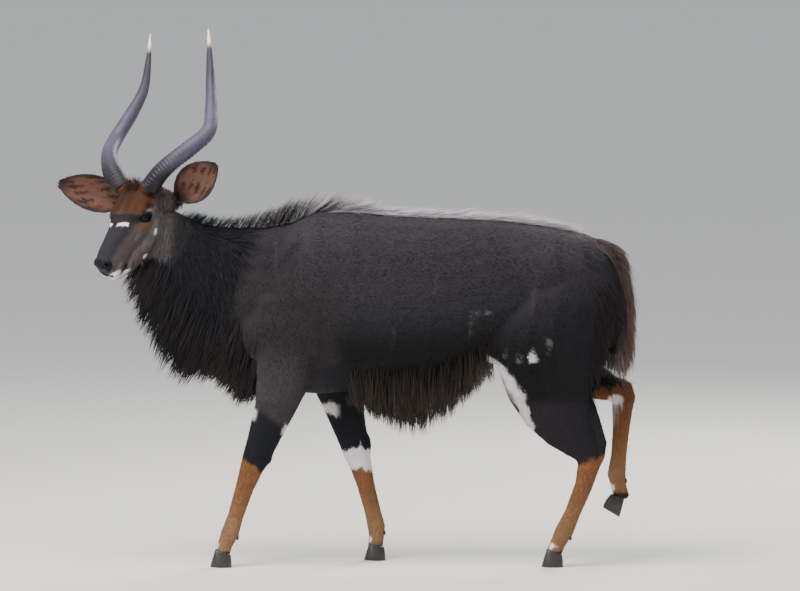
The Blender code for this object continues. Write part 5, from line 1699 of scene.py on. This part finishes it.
# The eyes
# Glass-like balls set deep between the lids: a wide level pupil in a dark brown iris, under a
# clear wet surface.
def eyeball(name, replaced, side):
    shape = bmesh.new()
    bmesh.ops.create_uvsphere(shape, u_segments=64, v_segments=40, radius=EYE_RADIUS)
    made = from_bmesh(name, shape)
    gaze, level, upright = eye_axes(side)
    turn = Matrix((level, upright, gaze)).transposed().to_4x4()
    points = column(made.data) / EYE_RADIUS
    wide, high = points[:, 0], points[:, 1]
    reach = np.hypot(wide, high)
    front = points[:, 2] > 0
    colour = over(paint("#15100f"), paint("#120b08"), front * fading(reach, 0.60, 0.70))
    colour = over(colour, paint("#050505"), front * fading(np.hypot(wide / 1.9, high), 0.23, 0.28))
    bulge = 1 + 0.045 * fading(reach, 0.35, 0.80) * front
    made.data.vertices.foreach_set("co", (points * EYE_RADIUS * bulge.reshape(-1, 1)).ravel())
    made.data.transform(HEAD @ Matrix.Translation((EYE.x, side * EYE.y, EYE.z)) @ turn)
    made.data.shade_smooth()
    painted(made.data, colour)
    made.data.materials.append(wet_eye)
    return settled(made, "eye", replaced)


# Wet eye: a dark iris seen through the clear front of the eye, with the sharp highlight of a
# tear film.
wet_eye, tree, shader = finish_named("wet_eye", Roughness=0.25, Specular_IOR_Level=0.05)
shader.inputs["Coat Weight"].default_value = 0.30
shader.inputs["Coat Roughness"].default_value = 0.02
shader.inputs["Coat IOR"].default_value = 1.30
tone = node(tree, "ShaderNodeVertexColor", {"layer_name": "coat"})
place = node(tree, "ShaderNodeTexCoord")
fibre = node(tree, "ShaderNodeTexNoise", Vector=(place, "Object"), Scale=700.0, Detail=2.0)
shade = node(tree, "ShaderNodeMapRange", Value=(fibre, "Fac"), To_Min=0.6, To_Max=1.4)
mixed = node(tree, "ShaderNodeVectorMath", {"operation": "SCALE"}, _0=(tone, "Color"), Scale=(shade, 0))
tree.links.new(mixed.outputs[0], shader.inputs["Base Color"])
eyeball("eyeball_left", "eye_left", 1)
eyeball("eyeball_right", "eye_right", -1)

# Lashes and whiskers
# Stiff single hairs of the same horn-like stuff as the coat: a row of lashes along each upper lid
# and sparse feelers on the lips and chin, each rooted in the skin and tapering to its tip.
lash_hair, tree, shader = finish_named("lash_hair", Base_Color=(*paint("#17120f"), 1), Roughness=0.5)
shader.inputs["Specular IOR Level"].default_value = 0.2


def bristle_tree():
    """Geometry Nodes: a tapered bristle on every root, along its aim, a little uneven in length."""
    tree = bpy.data.node_groups.new("bristles", "GeometryNodeTree")
    sockets = {}
    for name, kind, value in (
        ("Roots", "NodeSocketGeometry", None),
        ("Width", "NodeSocketFloat", 0.0005),
        ("Shortest", "NodeSocketFloat", 0.7),
        ("Longest", "NodeSocketFloat", 1.1),
        ("Seed", "NodeSocketInt", 7),
        ("Finish", "NodeSocketMaterial", None),
    ):
        socket = tree.interface.new_socket(name, in_out="INPUT", socket_type=kind)
        if value is not None:
            socket.default_value = value
        sockets[name] = socket.identifier
    tree.interface.new_socket("Bristles", in_out="OUTPUT", socket_type="NodeSocketGeometry")
    given = tree.nodes.new("NodeGroupInput")
    aim = node(tree, "GeometryNodeInputNamedAttribute", {"data_type": "FLOAT_VECTOR"}, Name="aim")
    reach = node(tree, "GeometryNodeInputNamedAttribute", {"data_type": "FLOAT"}, Name="reach")
    uneven = node(
        tree, "FunctionNodeRandomValue", {"data_type": "FLOAT"},
        _2=(given, "Shortest"), _3=(given, "Longest"), Seed=(given, "Seed"),
    )
    length = node(tree, "ShaderNodeMath", {"operation": "MULTIPLY"}, _0=(reach, 0), _1=(uneven, 1))
    size = node(tree, "ShaderNodeCombineXYZ", X=(given, "Width"), Y=(given, "Width"), Z=(length, 0))
    turn = node(tree, "FunctionNodeAlignRotationToVector", {"axis": "Z"}, Vector=(aim, 0))
    cone = node(tree, "GeometryNodeMeshCone", Vertices=5, Radius_Top=0.06, Radius_Bottom=0.5, Depth=1.0)
    placed = node(
        tree, "GeometryNodeInstanceOnPoints", Points=(given, "Roots"), Instance=(cone, "Mesh"),
        Rotation=(turn, 0), Scale=(size, 0),
    )
    whole = node(tree, "GeometryNodeRealizeInstances", Geometry=(placed, 0))
    dressed = node(tree, "GeometryNodeSetMaterial", Geometry=(whole, 0), Material=(given, "Finish"))
    result = tree.nodes.new("NodeGroupOutput")
    tree.links.new(dressed.outputs[0], result.inputs[0])
    return tree, sockets


bristles, bristle_sockets = bristle_tree()


def bristle_piece(name, roots, aims, reaches, width, seed):
    """One joined mesh of bristles on these roots, snapped to the skin."""
    spots, normals, patches = on_skin(np.array(roots))
    mesh = bpy.data.meshes.new(name)
    mesh.from_pydata((spots - normals * 0.001).tolist(), [], [])
    aim = mesh.attributes.new("aim", "FLOAT_VECTOR", "POINT")
    aim.data.foreach_set("vector", np.array(aims, np.float32).ravel())
    reach = mesh.attributes.new("reach", "FLOAT", "POINT")
    reach.data.foreach_set("value", np.array(reaches, np.float32))
    made = object_from(name, mesh)
    grown = made.modifiers.new("bristles", "NODES")
    grown.node_group = bristles
    for socket, value in (
        ("Width", width),
        ("Shortest", 0.7),
        ("Longest", 1.1),
        ("Seed", seed),
        ("Finish", lash_hair),
    ):
        grown[bristle_sockets[socket]] = value
    made = evaluated(made)
    each = len(made.data.vertices) // len(spots)
    layer = made.data.uv_layers.new(name="OFBake")
    owners = np.empty(len(made.data.loops), np.int64)
    made.data.loops.foreach_get("vertex_index", owners)
    local = np.stack([owners % each, owners % 3], 1) / each * PATCH
    layer.data.foreach_set("uv", (patches[owners // each] + local).astype(np.float32).ravel())
    return settled(made, "head_coat")


lash_roots, lash_aims, lash_reaches = [], [], []
feeler_roots, feeler_aims, feeler_reaches = [], [], []
feeler_chance = np.random.default_rng(71)
head_turn = HEAD.to_3x3()
for side in (1, -1):
    gaze, length, upright = eye_axes(side)
    raised = upright * -side
    for step in range(26):
        share = 1.7 * step / 25 - 0.85
        edge = gaze * 0.019 + length * 0.0205 * share + raised * 0.0128 * (1 - abs(share) ** 1.8)
        lash_roots.append(HEAD @ (Vector((EYE.x + 0.004, side * EYE.y, EYE.z + 0.001)) + edge))
        lash_aims.append(head_turn @ (gaze * 0.9 + raised * 0.35 + length * share * 0.5).normalized())
        lash_reaches.append(0.0125 * (1 - 0.4 * abs(share)))
    for _ in range(34):
        along_lip, height = feeler_chance.uniform(0.225, 0.296), feeler_chance.uniform(-0.080, -0.050)
        on_chin = feeler_chance.random() < 0.4
        beside = side * (0.020 if on_chin else 0.034)
        spot = Vector((along_lip - 0.02 * on_chin, beside, height - 0.055 * on_chin))
        feeler_roots.append(HEAD @ spot)
        out = Vector((0.5, side * (0.5 if on_chin else 1.0), -1.0 if on_chin else -0.35))
        feeler_aims.append(head_turn @ (out + Vector(feeler_chance.normal(0, 0.2, 3))).normalized())
        feeler_reaches.append(feeler_chance.uniform(0.014, 0.034))
bristle_piece("lashes", lash_roots, lash_aims, lash_reaches, 0.0005, 7)
bristle_piece("whiskers", feeler_roots, feeler_aims, feeler_reaches, 0.00035, 8)

# The hooves
# Two claws of black horn to each foot, flat underneath, with faint growth lines round them, and
# a pair of small dew claws behind each pastern.
TRACK_FORE = 0.095
TRACK_HIND = 0.088
FEET = {
    "fore_left": (Vector((-0.650, -TRACK_FORE, 0)), 0),
    "fore_right": (Vector((-0.170, TRACK_FORE, 0)), 0),
    "hind_left": (Vector((0.385, -TRACK_HIND, 0)), 0),
    "hind_right": (Vector((0.604, TRACK_FORE, 0.172)), -76),
}
hoof_horn, tree, shader = finish_named("hoof_horn", Roughness=0.42, Specular_IOR_Level=0.5)
place = node(tree, "ShaderNodeTexCoord")
stretch = node(tree, "ShaderNodeMapping", Vector=(place, "Object"), Scale=(90.0, 90.0, 700.0))
layers = node(tree, "ShaderNodeTexNoise", Vector=(stretch, 0), Scale=1.0, Detail=3.0)
ramp = node(tree, "ShaderNodeMix", {"data_type": "RGBA"}, Factor=(layers, "Fac"))
ramp.inputs[6].default_value = (*paint("#141314"), 1)
ramp.inputs[7].default_value = (*paint("#37322f"), 1)
tree.links.new(ramp.outputs[2], shader.inputs["Base Color"])
bump = node(tree, "ShaderNodeBump", Strength=0.4, Distance=0.0005, Height=(layers, "Fac"))
tree.links.new(bump.outputs[0], shader.inputs["Normal"])


def claw(name, side):
    """One half of a cloven hoof in the foot's own frame: toe towards -X, sole on Z 0."""
    stations = (
        (0.0300, 0.018, 0.0070),
        (0.0262, 0.042, 0.0105),
        (0.0120, 0.050, 0.0120),
        (0.0000, 0.054, 0.0122),
        (-0.0110, 0.057, 0.0116),
        (-0.0200, 0.057, 0.0100),
        (-0.0295, 0.026, 0.0064),
        (-0.0365, 0.004, 0.0020),
    )
    rings = []
    for x, top, half in stations:
        inner = side * 0.0010
        rings.append(
            [
                Vector((x, inner, 0)),
                Vector((x, inner + side * half * 1.10, 0)),
                Vector((x, inner + side * half * 2.20, 0)),
                Vector((x, inner + side * half * 2.14, top * 0.30)),
                Vector((x, inner + side * half * 2.06, top * 0.60)),
                Vector((x, inner + side * half * 1.75, top * 0.88)),
                Vector((x, inner + side * half * 1.00, top)),
                Vector((x, inner + side * half * 0.25, top * 0.95)),
                Vector((x, inner, top * 0.55)),
            ]
        )
    made = loft(name, rings)
    edge = made.modifiers.new("worn edges", "BEVEL")
    edge.width = 0.0012
    edge.segments = 2
    edge.limit_method = "ANGLE"
    edge.angle_limit = math.radians(40)
    made = evaluated(made)
    made.data.shade_smooth()
    return made


for foot, (spot, turn) in FEET.items():
    place = Matrix.Translation(spot) @ Matrix.Rotation(math.radians(turn), 4, "Y")
    outer = -1 if foot.endswith("left") else 1
    for side, which in ((outer, "near"), (-outer, "far")):
        made = claw(f"claw_{foot}_{which}", side)
        made.data.transform(place)
        made.data.materials.append(hoof_horn)
        settled(made, "hoof_horn", f"hoof_{foot}_{which}")

DEW_CLAWS = (
    (-0.607, -TRACK_FORE, 0.086),
    (-0.141, TRACK_FORE, 0.086),
    (0.425, -TRACK_HIND, 0.088),
    (0.616, TRACK_FORE, 0.254),
)
for x, y, z in DEW_CLAWS:
    for side, which in ((left, "near"), (right, "far")):
        spots, normals, _ = on_skin(np.array([(x + 0.02, y + side * 0.014, z)]))
        place = Vector(spots[0] - normals[0] * 0.0015)
        made = ellipsoid(f"dew_claw_{which}", place, (0.0060, 0.0062, 0.0105), (0, -24, 0), 20)
        made.data.shade_smooth()
        made.data.materials.append(hoof_horn)
        settled(made, "hoof_horn")

# The flesh solids give way
# The skin is handed over and the flesh solids that it covers are hidden. The dressed animal
# stays as large as its solids.
flesh = ["head", "neck", "torso", "tail", "ear_left", "ear_right"]
flesh += [f"leg_{leg}_{half}" for leg in FEET for half in ("upper", "lower")]
settled(skin, "body_coat", *flesh)
